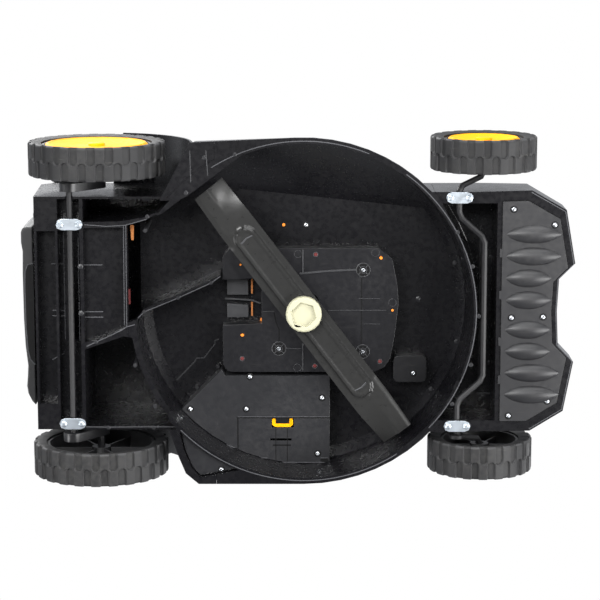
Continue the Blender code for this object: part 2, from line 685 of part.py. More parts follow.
def make_front_axle():
    bow_x = FRONT_ROD_X + FRONT_BOW
    z = FRONT_ROD_Z
    wheel = (FRONT_WHEEL_X, FRONT_WHEEL_R)
    right_end = -(FRONT_RIGHT_INNER + WHEEL_WIDTH - STUB_BACK)
    left_end = FRONT_LEFT_INNER + WHEEL_WIDTH - STUB_BACK
    run = [
        (wheel[0], right_end, wheel[1]), (wheel[0], 0.0083 - FRONT_RIGHT_INNER, wheel[1]),
        (FRONT_ROD_X, 0.0188 - FRONT_RIGHT_INNER, z), (FRONT_ROD_X, NOSE_RIGHT + 0.0310, z),
        (bow_x, NOSE_RIGHT + 0.0600, z), (bow_x, NOSE_LEFT - 0.0680, z), (FRONT_ROD_X, NOSE_LEFT - 0.0390, z),
        (FRONT_ROD_X, ARM_INNER + 0.0020, z), (wheel[0], ARM_INNER + 0.0125, wheel[1]),
        (wheel[0], left_end, wheel[1]),
    ]
    rod = settle(tube("front_axle_run", bend(run, 0.005, 1), ROD_R), "front_axle")
    lug_top = (FRONT_ROD_X, z + LINK_ARM)
    lug_plan = [arm_outline((FRONT_ROD_X, z), lug_top, 0.009, 0.0065)]
    lug = plate("front_lug", lug_plan, ARM_INNER, ARM_INNER + 0.004, "Y")
    combine(rod, lug, "UNION")
    pin = [(0, 0.0050), (LINK_PIN_R, 0.0050), (LINK_PIN_R, 0.0), (0, 0.0)]
    combine(rod, turned("link_pin_front", pin, 10, (lug_top[0], LINK_INNER, lug_top[1]), "Y"), "UNION")
    rod.data.shade_smooth()
    hang(front_pivot, rod)
    return finish(rod, GREY, 0.4, 0.7)


def make_link():
    """The flat bar that makes both axles turn together."""
    rear = Vector((REAR_ROD_X, REAR_ROD_Z + LINK_ARM))
    front = Vector((FRONT_ROD_X, FRONT_ROD_Z + LINK_ARM))
    link = plate("height_link", [arm_outline(rear, front, 0.006, 0.006)], LINK_INNER, LINK_OUTER, "Y")
    for number, (x, z) in enumerate((rear, front)):
        loose = GAP if number == 0 else RUNNING
        eye = [(0, 0.02), (LINK_PIN_R + loose, 0.02), (LINK_PIN_R + loose, -0.02), (0, -0.02)]
        combine(link, turned(f"link_eye_{number}", eye, 12, (x, LINK_INNER, z), "Y"))
    link_pivot = pivot("link_pivot", (rear.x, 0, rear.y))
    link_pivot.parent = rear_pivot
    link_pivot.matrix_parent_inverse = Matrix.Translation(-Vector(rear_pivot.location))
    hang(link_pivot, link)
    return finish(link, ZINC, 0.4, 0.9)


make_link()
make_front_axle()


# Wheels: hard tyres with two staggered rows of notches, a ribbed rim inside and a yellow hubcap outside.
def make_tyre(name, radius, notches, spot):
    half = WHEEL_WIDTH / 2
    bead = radius - 0.017
    profile = [
        (radius - 0.004, half), (radius, half - 0.004), (radius, -half + 0.004), (radius - 0.004, -half),
        (bead, -half + 0.002), (bead, half - 0.002),
    ]
    tyre = turned(name, profile, notches * 2, spot, "Y")
    teeth = bmesh.new()
    pitch = 2 * math.pi / notches
    for row in (-1, 1):
        for number in range(notches):
            angle = pitch * (number + (0.5 if row > 0 else 0.0))
            place = Matrix.Rotation(angle, 4, "Y") @ Matrix.Translation((radius, row * (half - 0.006), 0))
            size = Matrix.Diagonal((0.0075, 0.0200, pitch * radius * 0.46, 1))
            bmesh.ops.create_cube(teeth, size=1.0, matrix=place @ size)
    cut = from_bmesh(name + "_notches", teeth)
    cut.location = spot
    combine(tyre, cut)
    return finish(tyre, BLACK, 0.65)


def make_rim(name, radius, spot, side):
    """A dished disc with a hub tube and six ribs, open towards the mower."""
    half = WHEEL_WIDTH / 2
    outer = radius - 0.017 - GAP
    web = half - 0.014
    profile = [
        (outer, half - 0.004), (outer, -half + 0.004), (outer - 0.003, -half + 0.004),
        (outer - 0.005, web - 0.003), (0.0130, web - 0.003), (0.0120, -half + 0.010), (0.0056, -half + 0.010),
        (0.0056, web), (outer - 0.006, web), (outer - 0.003, half - 0.004),
    ]
    rim = turned(name, profile, 20, spot, "Y" if side > 0 else "-Y")
    for number in range(3):
        long = outer - 0.0035
        for end in (-1, 1):
            low = (end * 0.0125, -0.0012, -half + 0.012)
            high = (end * long, 0.0012, web - 0.002)
            rib = box(f"{name}_rib_{number}_{end}", [min(a, b) for a, b in zip(low, high)],
                      [max(a, b) for a, b in zip(low, high)])
            shift = Matrix.Translation([(a + b) / 2 for a, b in zip(low, high)])
            turn = Matrix.Rotation(math.pi / 3 * number, 4, "Z")
            lay = Matrix.Rotation(-math.pi / 2 if side > 0 else math.pi / 2, 4, "X")
            rib.matrix_world = Matrix.Translation(spot) @ lay @ turn @ shift
            combine(rim, rib, "UNION")
    return finish(rim, BLACK, 0.5)


def make_hubcap(name, radius, spot, side):
    """The yellow cap that closes the outer face."""
    half = WHEEL_WIDTH / 2
    edge = radius - 0.017 - 0.0046
    profile = [
        (0, half - 0.0040), (edge * 0.25, half - 0.0065), (edge * 0.60, half - 0.0070),
        (edge - 0.003, half - 0.002), (edge, half - 0.0045), (edge * 0.60, half - 0.0105),
        (0.006, half - 0.0137), (0, half - 0.0137),
    ]
    cap = turned(name, profile, 20, spot, "Y" if side > 0 else "-Y")
    return finish(cap, YELLOW, 0.3)


WHEELS = (
    ("rear_left", 1, REAR_WHEEL_R, REAR_NOTCHES, REAR_WHEEL_X, REAR_WHEEL_INNER),
    ("rear_right", -1, REAR_WHEEL_R, REAR_NOTCHES, REAR_WHEEL_X, REAR_WHEEL_INNER),
    ("front_left", 1, FRONT_WHEEL_R, FRONT_NOTCHES, FRONT_WHEEL_X, FRONT_LEFT_INNER),
    ("front_right", -1, FRONT_WHEEL_R, FRONT_NOTCHES, FRONT_WHEEL_X, FRONT_RIGHT_INNER),
)
for corner, side, radius, notches, x, inner in WHEELS:
    spot = (x, side * (inner + WHEEL_WIDTH / 2), radius)
    hub = pivot(corner + "_wheel_spin", spot)
    hub.parent = rear_pivot if corner.startswith("rear") else front_pivot
    hub.matrix_parent_inverse = Matrix.Translation(-Vector(hub.parent.location))
    for piece in (
        make_tyre(corner + "_tyre", radius, notches, spot),
        make_rim(corner + "_rim", radius, spot, side),
        make_hubcap(corner + "_hubcap", radius, spot, side),
    ):
        hang(hub, piece)


# Cutter and motor: the blade hangs on the motor shaft under a moulded plate.
def make_blade():
    """A pressed steel bar: embossed middle, sharpened ends with raised trailing wings."""
    across = (-0.5, -0.32, -0.27, 0.27, 0.32, 0.5)
    along = (-0.5, -0.45, -0.4, -0.3625, -0.3425, -0.325, -0.15, 0.0, 0.15, 0.325, 0.3425, 0.3625, 0.4, 0.45, 0.5)
    sheet = bmesh.new()
    rows = []
    for station in along:
        u = station * BLADE_LONG
        row = []
        for share in across:
            v = share * BLADE_WIDE
            reach = max(0.0, abs(u) - 0.360 * BLADE_LONG) / (0.140 * BLADE_LONG)
            trailing = share if u > 0 else -share
            wing = 0.011 * reach * max(0.0, trailing + 0.1)
            emboss = 0.0022 if abs(share) < 0.3 and abs(u) < 0.335 * BLADE_LONG else 0.0
            taper = 1 - 0.10 * reach
            row.append(sheet.verts.new((u, v * taper, wing * 1.6 - emboss)))
        rows.append(row)
    for first, second in zip(rows, rows[1:]):
        for a, b, c, d in zip(first, first[1:], second[1:], second):
            sheet.faces.new((a, b, c, d))
    blade = from_bmesh("blade", sheet)
    walls = blade.modifiers.new("thickness", "SOLIDIFY")
    walls.thickness = BLADE_THICK
    walls.offset = 0
    hole = turned("blade_hole", [(0, 1), (SHAFT_R + GAP, 1), (SHAFT_R + GAP, -1), (0, -1)], 12)
    blade.location = (CHAMBER_X, 0, BLADE_Z)
    blade.rotation_euler = (0, 0, BLADE_ANGLE)
    hole.location = (CHAMBER_X, 0, 0)
    combine(blade, hole)
    return finish(blade, GREY, 0.35, 0.6)


spin_axis = pivot("blade_spin", (CHAMBER_X, 0, BLADE_Z))
blade = make_blade()
blade_low = BLADE_Z - BLADE_THICK / 2 - 0.0022
blade_high = BLADE_Z + BLADE_THICK / 2
bolt = turned("blade_bolt", [
    (0, blade_low - GAP), (0.021, blade_low - GAP), (0.023, blade_low - 0.003), (0.023, blade_low - 0.010),
    (0.021, blade_low - 0.012), (0, blade_low - 0.012),
], 20, (CHAMBER_X, 0, 0))
hexagon = [(CHAMBER_X + x, y) for x, y in arc((0, 0), 0.0165, 15, 315, 5)]
combine(bolt, plate("hex_recess", [hexagon], blade_low - 0.013, blade_low - 0.0075))
finish(bolt, CREAM, 0.45)
carrier = turned("blade_carrier", [
    (0.014, MOTOR_PLATE_Z - 0.010), (0.018, MOTOR_PLATE_Z - 0.014), (0.020, blade_high + 0.006),
    (0.024, blade_high + 0.003), (0.024, blade_high + GAP), (SHAFT_R + GAP, blade_high + GAP),
    (SHAFT_R + GAP, MOTOR_PLATE_Z - 0.010),
], 14, (CHAMBER_X, 0, 0))
finish(carrier, GREY, 0.5)
rotor_low = CEILING_Z + 0.030
rotor_high = rotor_low + 0.045
shaft = turned("motor_shaft", [
    (0, rotor_high + 0.024), (SHAFT_R, rotor_high + 0.024), (SHAFT_R, rotor_high), (0.034, rotor_high),
    (0.034, rotor_low), (SHAFT_R, rotor_low), (SHAFT_R, blade_low), (0, blade_low),
], 14, (CHAMBER_X, 0, 0))
finish(shaft, STEEL, 0.3, 1.0)
hang(spin_axis, blade, bolt, carrier, shaft)

motor_low = CEILING_Z + 0.004 + GAP
motor_high = rotor_high + 0.014
motor = turned("motor_housing", [
    (SHAFT_R + RUNNING, motor_high), (MOTOR_R - 0.008, motor_high), (MOTOR_R, motor_high - 0.008),
    (MOTOR_R, motor_low + 0.004), (MOTOR_R + 0.004, motor_low + 0.004), (MOTOR_R + 0.004, motor_low),
    (0.037, motor_low), (0.037, motor_high - 0.006), (SHAFT_R + RUNNING, motor_high - 0.006),
], 20, (CHAMBER_X, 0, 0))
finish(motor, STEEL, 0.4, 0.8)


def tray_outline(inset):
    """The plan of the motor plate: a broad letter C that is open to the left of the shaft."""
    back, vent = -0.093, -0.0425
    top, bottom = -0.0765 + inset, 0.087 - inset
    edge = TRAY_RIGHT - inset
    right = [(edge - 0.0260 + inset, top), (edge - 0.0085, -0.0625 + inset / 2), (edge - 0.0017, -0.029)]
    right += [(edge, -0.005), (edge - 0.0048, 0.039), (edge - 0.0103, 0.0685), (edge - 0.0175, 0.0804 - inset)]
    right.append((edge - 0.0320 + inset, bottom))
    left = arc((back + 0.013, 0.074), 0.013 - inset, 90, 175, 3)
    left += [(back + inset, 0.0245 + inset), (vent + inset, 0.0225 + inset), (vent + inset, -0.0375 - inset)]
    left += [(back + inset, -0.0350 - inset)] + arc((back + 0.016, -0.0605), 0.016 - inset, 190, 270, 3)
    return right + left


def make_motor_plate():
    """A moulded tray under the motor, with bolt sinks and posts."""
    tray = plate("motor_plate", [tray_outline(0)], MOTOR_PLATE_Z, CEILING_Z - GAP)
    combine(tray, plate("tray_hollow", [tray_outline(WALL)], MOTOR_PLATE_Z + WALL, CEILING_Z + 0.010))
    bore = turned("tray_bore", [(0, 0.2), (0.0215, 0.2), (0.0215, 0.05), (0, 0.05)], 20, (CHAMBER_X, 0, 0))
    combine(tray, bore)
    low = MOTOR_PLATE_Z + 0.002
    for number, (x, y) in enumerate(BOLT_POSTS):
        post = turned(f"bolt_post_{number}", [
            (0, CEILING_Z - GAP), (0.005, CEILING_Z - GAP), (0.005, low - 0.001), (0, low - 0.001),
        ], 8, (x, y, 0))
        combine(tray, post, "UNION")
        sink = turned(f"bolt_sink_{number}", [
            (0.0078, low), (0.0078, low - 0.007), (0.0048, low - 0.007), (0.0048, low),
        ], 8, (x, y, 0))
        combine(tray, sink)
    return finish(tray, GREY, 0.55)


make_motor_plate()


motor_foot = [rounded((-0.032, -0.064), (0.101, 0.072), 0.012, 2)]
foot = plate("motor_foot", motor_foot, motor_low, motor_low + 0.004)
combine(foot, turned("foot_bore", [(0, 0.2), (0.037, 0.2), (0.037, 0.1), (0, 0.1)], 20, (CHAMBER_X, 0, 0)))
combine(motor, foot, "UNION")


def make_electronics_cover():
    """The screwed tray left of the motor plate, with the controller inside it."""
    panel = [
        (-0.152, 0.140), (-0.0945, 0.0825), (-0.0905, 0.0905), (0.046, 0.0905), (0.046, 0.147),
        (-0.074, 0.147), (-0.074, 0.215), (-0.152, 0.215),
    ]
    cover = plate("electronics_cover", [panel], COVER_Z, CEILING_Z - GAP)
    combine(cover, chamber_space("cover_limit", GAP + 0.0002), "INTERSECT")
    room = [(-0.088, 0.0935), (0.043, 0.0935), (0.043, 0.144), (-0.077, 0.144), (-0.120, 0.120)]
    combine(cover, plate("cover_room", [room], COVER_Z + WALL, 0.130))
    return finish(cover, GREY, 0.55)


make_electronics_cover()
controller = box("controller", (-0.070, 0.098, COVER_Z + WALL + GAP), (0.030, 0.138, CEILING_Z - 0.004))
finish(controller, STEEL, 0.5, 0.6)


def make_side_box():
    """The low box between the electronics cover and the skirt, notched for the latch."""
    side = plate("side_box", [[(-0.0735, 0.1476), (0.046, 0.1476), (0.046, 0.216), (-0.0735, 0.216)]],
                 COVER_Z, CEILING_Z - GAP)
    combine(side, chamber_space("side_limit", GAP + 0.0002), "INTERSECT")
    combine(side, plate("side_room", [[(-0.0705, 0.163), (0.043, 0.163), (0.043, 0.200), (-0.0705, 0.200)]],
                        COVER_Z + WALL, 0.130))
    combine(side, box("latch_notch", (-0.030, 0.140, 0.08), (-0.001, 0.1600, 0.13)))
    combine(side, box("latch_slot", (-0.032, 0.1745, 0.08), (-0.004, 0.1775, 0.0945)))
    return finish(side, GREY, 0.5)


make_side_box()
latch = plate("side_latch", [[(-0.0285, 0.1478), (-0.0025, 0.1478), (-0.0025, 0.156), (-0.006, 0.1595),
                              (-0.025, 0.1595), (-0.0285, 0.156)]], COVER_Z + 0.002, CEILING_Z - GAP)
combine(latch, plate("latch_open", [rounded((-0.0235, 0.140), (-0.0075, 0.1535), 0.003, 2)], 0.08, 0.110))
finish(latch, YELLOW, 0.35)
finish(plate("corner_cover", [corner_outline(GAP * 2)], CORNER_Z, CORNER_Z + WALL), GREY, 0.55)
bracket_x = TRAY_RIGHT - 0.006
bracket_plan = [rounded((bracket_x, 0.066), (bracket_x + 0.043, 0.101), 0.006, 2)]
bracket = plate("ceiling_bracket", bracket_plan, 0.098, CEILING_Z - GAP)
combine(bracket, chamber_space("bracket_limit", GAP + 0.0002), "INTERSECT")
bracket_room = [rounded((bracket_x + WALL, 0.069), (bracket_x + 0.040, 0.098), 0.004, 2)]
combine(bracket, plate("bracket_room", bracket_room, 0.101, CEILING_Z + 0.010))
finish(bracket, BLACK, 0.5)


# Top: a yellow cowl over the motor, a battery bay with a hinged lid, and the rear flap.
def make_cowl():
    shape = bmesh.new()
    bmesh.ops.create_cube(shape, size=1.0)
    low = ROOF_Z - 0.002
    bmesh.ops.scale(shape, vec=(0.234, 0.200, COWL_TOP - low), verts=shape.verts)
    for vertex in shape.verts:
        if vertex.co.z > 0:
            vertex.co.x *= 0.86
            vertex.co.y *= 0.80
    roof = [edge for edge in shape.edges if max(v.co.z for v in edge.verts) > 0]
    bmesh.ops.bevel(shape, geom=roof, offset=0.030, segments=3, profile=0.5, affect="EDGES", clamp_overlap=True)
    under = [face for face in shape.faces if face.normal.z < -0.9]
    bmesh.ops.delete(shape, geom=under, context="FACES")
    cowl = from_bmesh("motor_cover", shape)
    cowl.location = (0.022, 0.004, (COWL_TOP + low) / 2)
    shell = cowl.modifiers.new("wall", "SOLIDIFY")
    shell.thickness = 0.0025
    shell.offset = -1
    shell.use_even_offset = True
    combine(cowl, box("cowl_foot", (-0.2, -0.2, 0.10), (0.2, 0.2, ROOF_Z + GAP)))
    for row in range(5):
        x = -0.030 + row * 0.022
        combine(cowl, box(f"cowl_vent_{row}", (x, -0.15, 0.165), (x + 0.009, 0.15, 0.205)))
    return finish(cowl, YELLOW, 0.3)


make_cowl()


def make_battery_bay():
    """An open-topped box on the rear body, with ears for the lid's pin."""
    bay = plate("battery_bay", [rounded((BAY_REAR, -0.078), (-0.105, 0.078), 0.010)], BODY_TOP + GAP, BAY_TOP)
    room = [rounded((BAY_REAR + 0.004, -0.074), (-0.109, 0.074), 0.007)]
    combine(bay, plate("bay_room", room, BODY_TOP + 0.004, BAY_TOP + 0.038))
    ear = [
        (LID_X - 0.0075, LID_Z - 0.0165), (LID_X - 0.0040, LID_Z - 0.0235), (LID_X + 0.0055, LID_Z - 0.0085),
        (LID_X + 0.0055, LID_Z + 0.0025), (LID_X + 0.0020, LID_Z + 0.0055), (LID_X - 0.0075, LID_Z - 0.0050),
    ]
    for number, y in enumerate((-0.070, 0.064)):
        combine(bay, plate(f"bay_ear_{number}", [ear], y, y + 0.006, "Y"), "UNION")
    hole = [(0, 0.2), (0.0023, 0.2), (0.0023, -0.2), (0, -0.2)]
    combine(bay, turned("lid_pin_hole", hole, 10, (LID_X, 0, LID_Z), "Y"))
    return finish(bay, BLACK, 0.5)


make_battery_bay()
lid_pin = tube("lid_pin", [(LID_X, -0.071, LID_Z), (LID_X, 0.071, LID_Z)], 0.002)
finish(lid_pin, STEEL, 0.3, 1.0)
lid_axis = pivot("lid_hinge", (LID_X, 0, LID_Z))


def make_lid():
    under = BAY_TOP + 0.0005
    side = [
        (BAY_REAR - 0.001, under), (BAY_REAR - 0.003, LID_Z + 0.0015), (BAY_REAR + 0.015, LID_Z + 0.0060),
        (LID_X - 0.0115, LID_Z + 0.0060), (LID_X - 0.0035, LID_Z + 0.0040), (LID_X + 0.0020, LID_Z + 0.0040),
        (LID_X + 0.0040, LID_Z), (LID_X + 0.0020, under), (LID_X - 0.0030, under), (LID_X - 0.0075, under),
    ]
    lid = plate("battery_lid", [side], -0.080, 0.080, "Y")
    for low, high in ((-0.09, -0.0635), (0.0635, 0.09)):
        combine(lid, box(f"lid_relief_{low}", (LID_X - 0.010, low, LID_Z - 0.012),
                         (LID_X + 0.011, high, LID_Z + 0.014)))
    hole = [(0, 0.2), (0.0023, 0.2), (0.0023, -0.2), (0, -0.2)]
    combine(lid, turned("lid_bore", hole, 10, (LID_X, 0, LID_Z), "Y"))
    hang(lid_axis, lid)
    return finish(lid, YELLOW, 0.3)


make_lid()
pack_plan = [rounded((BAY_REAR + 0.005, -0.073), (-0.110, 0.073), 0.006, 2)]
pack = plate("battery_pack", pack_plan, BODY_TOP + 0.0045, BAY_TOP - 0.017)
grip_plan = [rounded((BAY_REAR + 0.024, -0.030), (BAY_REAR + 0.050, 0.030), 0.006, 2)]
top_grip = plate("battery_grip", grip_plan, BAY_TOP - 0.022, BAY_TOP - 0.005)
combine(pack, top_grip, "UNION")
finish(pack, GREY, 0.5)
key_socket = box("key_socket", (0.060, -0.016, COWL_TOP + GAP), (0.092, 0.016, COWL_TOP + 0.006))
combine(key_socket, box("key_slot", (0.0655, -0.0045, COWL_TOP + 0.0015), (0.0865, 0.0045, 0.30)))
finish(key_socket, BLACK, 0.5)
key_axis = pivot("key_slide", (0.076, 0, COWL_TOP + 0.006))
key = plate("safety_key", [[(0.067, COWL_TOP + 0.0018), (0.085, COWL_TOP + 0.0018), (0.085, COWL_TOP + 0.009),
                           (0.089, COWL_TOP + 0.011), (0.089, COWL_TOP + 0.020), (0.063, COWL_TOP + 0.020),
                           (0.063, COWL_TOP + 0.011), (0.067, COWL_TOP + 0.009)]], -0.004, 0.004, "Y")
hang(key_axis, key)
finish(key, (0.55, 0.02, 0.01), 0.4)

flap_axis = pivot("flap_hinge", (FLAP_X, 0, FLAP_Z))


def make_flap():
    """The rear flap hangs on its rod and closes the discharge mouth."""
    x, z = FLAP_X, FLAP_Z
    side = [
        (x - 0.0045, z + 0.002), (x - 0.002, z + 0.005), (x + 0.003, z + 0.004), (x + 0.0045, z - 0.002),
        (x, z - 0.0175), (x - 0.0020, z - 0.0815), (x + 0.0035, z - 0.0895), (x + 0.0035, z - 0.0935),
        (x - 0.0145, z - 0.0935), (x - 0.0145, z - 0.0855), (x - 0.0070, z - 0.0775), (x - 0.0050, z - 0.0125),
    ]
    flap = plate("rear_flap", [side], -0.1065, 0.1305, "Y")
    hole = [(0, 0.3), (0.0023, 0.3), (0.0023, -0.3), (0, -0.3)]
    combine(flap, turned("flap_bore", hole, 10, (FLAP_X, 0, FLAP_Z), "Y"))
    hang(flap_axis, flap)
    return finish(flap, BLACK, 0.55)


make_flap()
finish(tube("flap_rod", [(FLAP_X, -0.1115, FLAP_Z), (FLAP_X, 0.1355, FLAP_Z)], 0.002), STEEL, 0.3, 1.0)

# Handle: lower tubes on two brackets, an upper loop folded back over them, and the controls on its grip.
lower_axis = pivot("lower_handle_fold", (HANDLE_PIVOT_X, 0, HANDLE_PIVOT_Z))
upper_axis = pivot("upper_handle_fold", (HANDLE_FOLD_X, 0, HANDLE_FOLD_Z))
upper_axis.parent = lower_axis
upper_axis.matrix_parent_inverse = Matrix.Translation(-Vector(lower_axis.location))


def bolt_hole(name, x, z):
    radius = BOLT_R + GAP
    return turned(name, [(0, 0.3), (radius, 0.3), (radius, -0.3), (0, -0.3)], 10, (x, 0, z), "Y")


for side, name in ((1, "left"), (-1, "right")):
    low, high = sorted((side * (HANDLE_EDGE - BRACKET_THICK), side * HANDLE_EDGE))
    crown = arc((HANDLE_PIVOT_X, HANDLE_PIVOT_Z), 0.012, 10, 170, 5)
    outline = [(HANDLE_PIVOT_X - 0.0140, BODY_TOP + GAP), (HANDLE_PIVOT_X + 0.035, BODY_TOP + GAP)] + crown
    bracket = plate(name + "_handle_bracket", [outline], low, high, "Y")
    combine(bracket, bolt_hole(name + "_bracket_hole", HANDLE_PIVOT_X, HANDLE_PIVOT_Z))
    finish(bracket, BLACK, 0.5)

    run = Vector((HANDLE_FOLD_X - HANDLE_PIVOT_X, HANDLE_FOLD_Z - HANDLE_PIVOT_Z)).normalized() * 0.012
    y = side * LOWER_TUBE_Y
    ends = [(HANDLE_PIVOT_X - run.x, y, HANDLE_PIVOT_Z - run.y), (HANDLE_FOLD_X + run.x, y, HANDLE_FOLD_Z + run.y)]
    leg = settle(tube(name + "_leg", ends, TUBE_R, 3), name + "_lower_tube")
    combine(leg, bolt_hole(name + "_lower_hole", HANDLE_PIVOT_X, HANDLE_PIVOT_Z))
    combine(leg, bolt_hole(name + "_upper_hole", HANDLE_FOLD_X, HANDLE_FOLD_Z))
    leg.data.shade_smooth()
    leg.data.set_sharp_from_angle(angle=math.radians(50))
    hang(lower_axis, finish(leg, BLACK, 0.35, 0.5))

    for spot, x, z, inner, outer in (
        ("lower", HANDLE_PIVOT_X, HANDLE_PIVOT_Z, LOWER_TUBE_Y - TUBE_R - 0.002, HANDLE_EDGE + GAP),
        ("fold", HANDLE_FOLD_X, HANDLE_FOLD_Z, UPPER_TUBE_Y - TUBE_R - 0.002, LOWER_TUBE_Y + TUBE_R + GAP),
    ):
        profile = [
            (0, outer + 0.012), (0.010, outer + 0.012), (0.014, outer + 0.009), (0.014, outer + 0.003),
            (0.008, outer), (BOLT_R, outer), (BOLT_R, inner), (0, inner),
        ]
        knob = turned(f"{name}_{spot}_knob", profile, KNOB_SIDES, (x, 0, z), "Y" if side > 0 else "-Y")
        knob_axis = pivot(f"{name}_{spot}_knob_turn", (x, side * outer, z))
        if spot == "fold":
            knob_axis.parent = lower_axis
            knob_axis.matrix_parent_inverse = Matrix.Translation(-Vector(lower_axis.location))
        hang(knob_axis, knob)
        finish(knob, BLACK, 0.4)


def make_upper_handle():
    front = HANDLE_FOLD_X + 0.012
    run = [(front, -UPPER_TUBE_Y, HANDLE_FOLD_Z), (GRIP_X, -UPPER_TUBE_Y, GRIP_Z),
           (GRIP_X, UPPER_TUBE_Y, GRIP_Z), (front, UPPER_TUBE_Y, HANDLE_FOLD_Z)]
    loop = settle(tube("upper_run", bend(run, 0.022, 4), TUBE_R, 3), "upper_handle")
    combine(loop, bolt_hole("upper_bolt_holes", HANDLE_FOLD_X, HANDLE_FOLD_Z))
    combine(loop, bolt_hole("bail_holes", BAIL_X, BAIL_Z))
    loop.data.shade_smooth()
    loop.data.set_sharp_from_angle(angle=math.radians(50))
    return finish(loop, BLACK, 0.35, 0.5)


upper = make_upper_handle()
grips = []
for side, name in ((1, "left"), (-1, "right")):
    profile = [(0.0142, 0.084), (0.0142, 0.048), (0.0103, 0.048), (0.0103, 0.084)]
    sleeve = turned(name + "_grip", profile, 14, (GRIP_X, 0, GRIP_Z), "Y" if side > 0 else "-Y")
    grips.append(finish(sleeve, BLACK, 0.9))
switch_side = [
    (SWITCH_REAR, SWITCH_LOW + 0.008), (SWITCH_REAR + 0.009, SWITCH_LOW), (GRIP_X + 0.014, SWITCH_LOW),
    (GRIP_X + 0.021, SWITCH_LOW + 0.008), (GRIP_X + 0.021, SWITCH_HIGH - 0.006), (GRIP_X + 0.016, SWITCH_HIGH),
    (SWITCH_REAR + 0.005, SWITCH_HIGH), (SWITCH_REAR, SWITCH_HIGH - 0.005),
]
switch_box = plate("switch_box", [switch_side], -0.047, 0.047, "Y")
grip_bore = [(0, 0.3), (TUBE_R + GAP, 0.3), (TUBE_R + GAP, -0.3), (0, -0.3)]
combine(switch_box, turned("switch_bore", grip_bore, 14, (GRIP_X, 0, GRIP_Z), "Y"))
combine(switch_box, box("button_well", (SWITCH_REAR - 0.01, -0.0105, BUTTON_Z - 0.0065),
                        (SWITCH_REAR + 0.0065, 0.0105, BUTTON_Z + 0.0065)))
finish(switch_box, BLACK, 0.5)
button = box("start_button", (SWITCH_REAR - 0.0045, -0.0100, BUTTON_Z - 0.0060),
             (SWITCH_REAR + 0.0022, 0.0100, BUTTON_Z + 0.0060))
finish(button, YELLOW, 0.35)
button_axis = pivot("button_slide", (SWITCH_REAR, 0, BUTTON_Z))
button_axis.parent = upper_axis
button_axis.matrix_parent_inverse = Matrix.Translation(-Vector((HANDLE_FOLD_X, 0, HANDLE_FOLD_Z)))
hang(button_axis, button)
hang(upper_axis, upper, switch_box, *grips)

bail_axis = pivot("bail_hinge", (BAIL_X, 0, BAIL_Z))
bail_axis.parent = upper_axis
bail_axis.matrix_parent_inverse = Matrix.Translation(-Vector((HANDLE_FOLD_X, 0, HANDLE_FOLD_Z)))
bar = (BAIL_X - BAIL_LONG * math.cos(BAIL_RISE), BAIL_Z + BAIL_LONG * math.sin(BAIL_RISE))
bail_y = UPPER_TUBE_Y - TUBE_R - 0.006
bail_run = [
    (BAIL_X, -UPPER_TUBE_Y, BAIL_Z), (BAIL_X, -bail_y, BAIL_Z), (bar[0], -bail_y, bar[1]),
    (bar[0], bail_y, bar[1]), (BAIL_X, bail_y, BAIL_Z), (BAIL_X, UPPER_TUBE_Y, BAIL_Z),
]
bail = tube("bail_lever", bend(bail_run, 0.004, 2), BOLT_R)
hang(bail_axis, finish(bail, YELLOW, 0.35))
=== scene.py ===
import math

import bmesh
import bpy
from mathutils import Matrix, Vector


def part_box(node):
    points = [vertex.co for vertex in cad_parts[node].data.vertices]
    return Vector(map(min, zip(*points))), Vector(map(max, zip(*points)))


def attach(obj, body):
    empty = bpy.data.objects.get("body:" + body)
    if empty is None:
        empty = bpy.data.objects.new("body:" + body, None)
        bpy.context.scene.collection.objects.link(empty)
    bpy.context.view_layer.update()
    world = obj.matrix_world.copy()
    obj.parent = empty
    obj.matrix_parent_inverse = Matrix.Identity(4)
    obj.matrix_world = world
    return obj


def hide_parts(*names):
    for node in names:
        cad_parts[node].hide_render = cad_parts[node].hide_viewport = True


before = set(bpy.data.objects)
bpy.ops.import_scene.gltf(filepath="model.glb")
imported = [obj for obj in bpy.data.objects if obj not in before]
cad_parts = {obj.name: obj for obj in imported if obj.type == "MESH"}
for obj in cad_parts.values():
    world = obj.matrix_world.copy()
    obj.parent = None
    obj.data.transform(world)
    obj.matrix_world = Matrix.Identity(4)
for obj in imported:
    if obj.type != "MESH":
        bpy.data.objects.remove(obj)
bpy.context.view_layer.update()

# The camera stands far below the mower, a little towards its right side, and looks up at its underside.
# A long lens keeps the wheels nearly parallel, as in the photograph.
TILT = math.radians(10.3)
DISTANCE = 2.816
target = Vector((0.0072, -0.015, 0.060))
sight = Vector((0.0, math.sin(TILT), math.cos(TILT)))
lens = bpy.data.cameras.new("photo_camera")
lens.lens = 132.0
lens.sensor_width = 36.0
lens.clip_end = 50.0
camera = bpy.data.objects.new("photo_camera", lens)
bpy.context.scene.collection.objects.link(camera)
right = Vector((1.0, 0.0, 0.0))
up = Vector((0.0, -math.cos(TILT), math.sin(TILT)))
turn = Matrix((right, up, -sight)).transposed().to_4x4()
camera.matrix_world = Matrix.Translation(target - sight * DISTANCE) @ turn
bpy.context.scene.camera = camera
bpy.context.scene.view_settings.view_transform = "Standard"

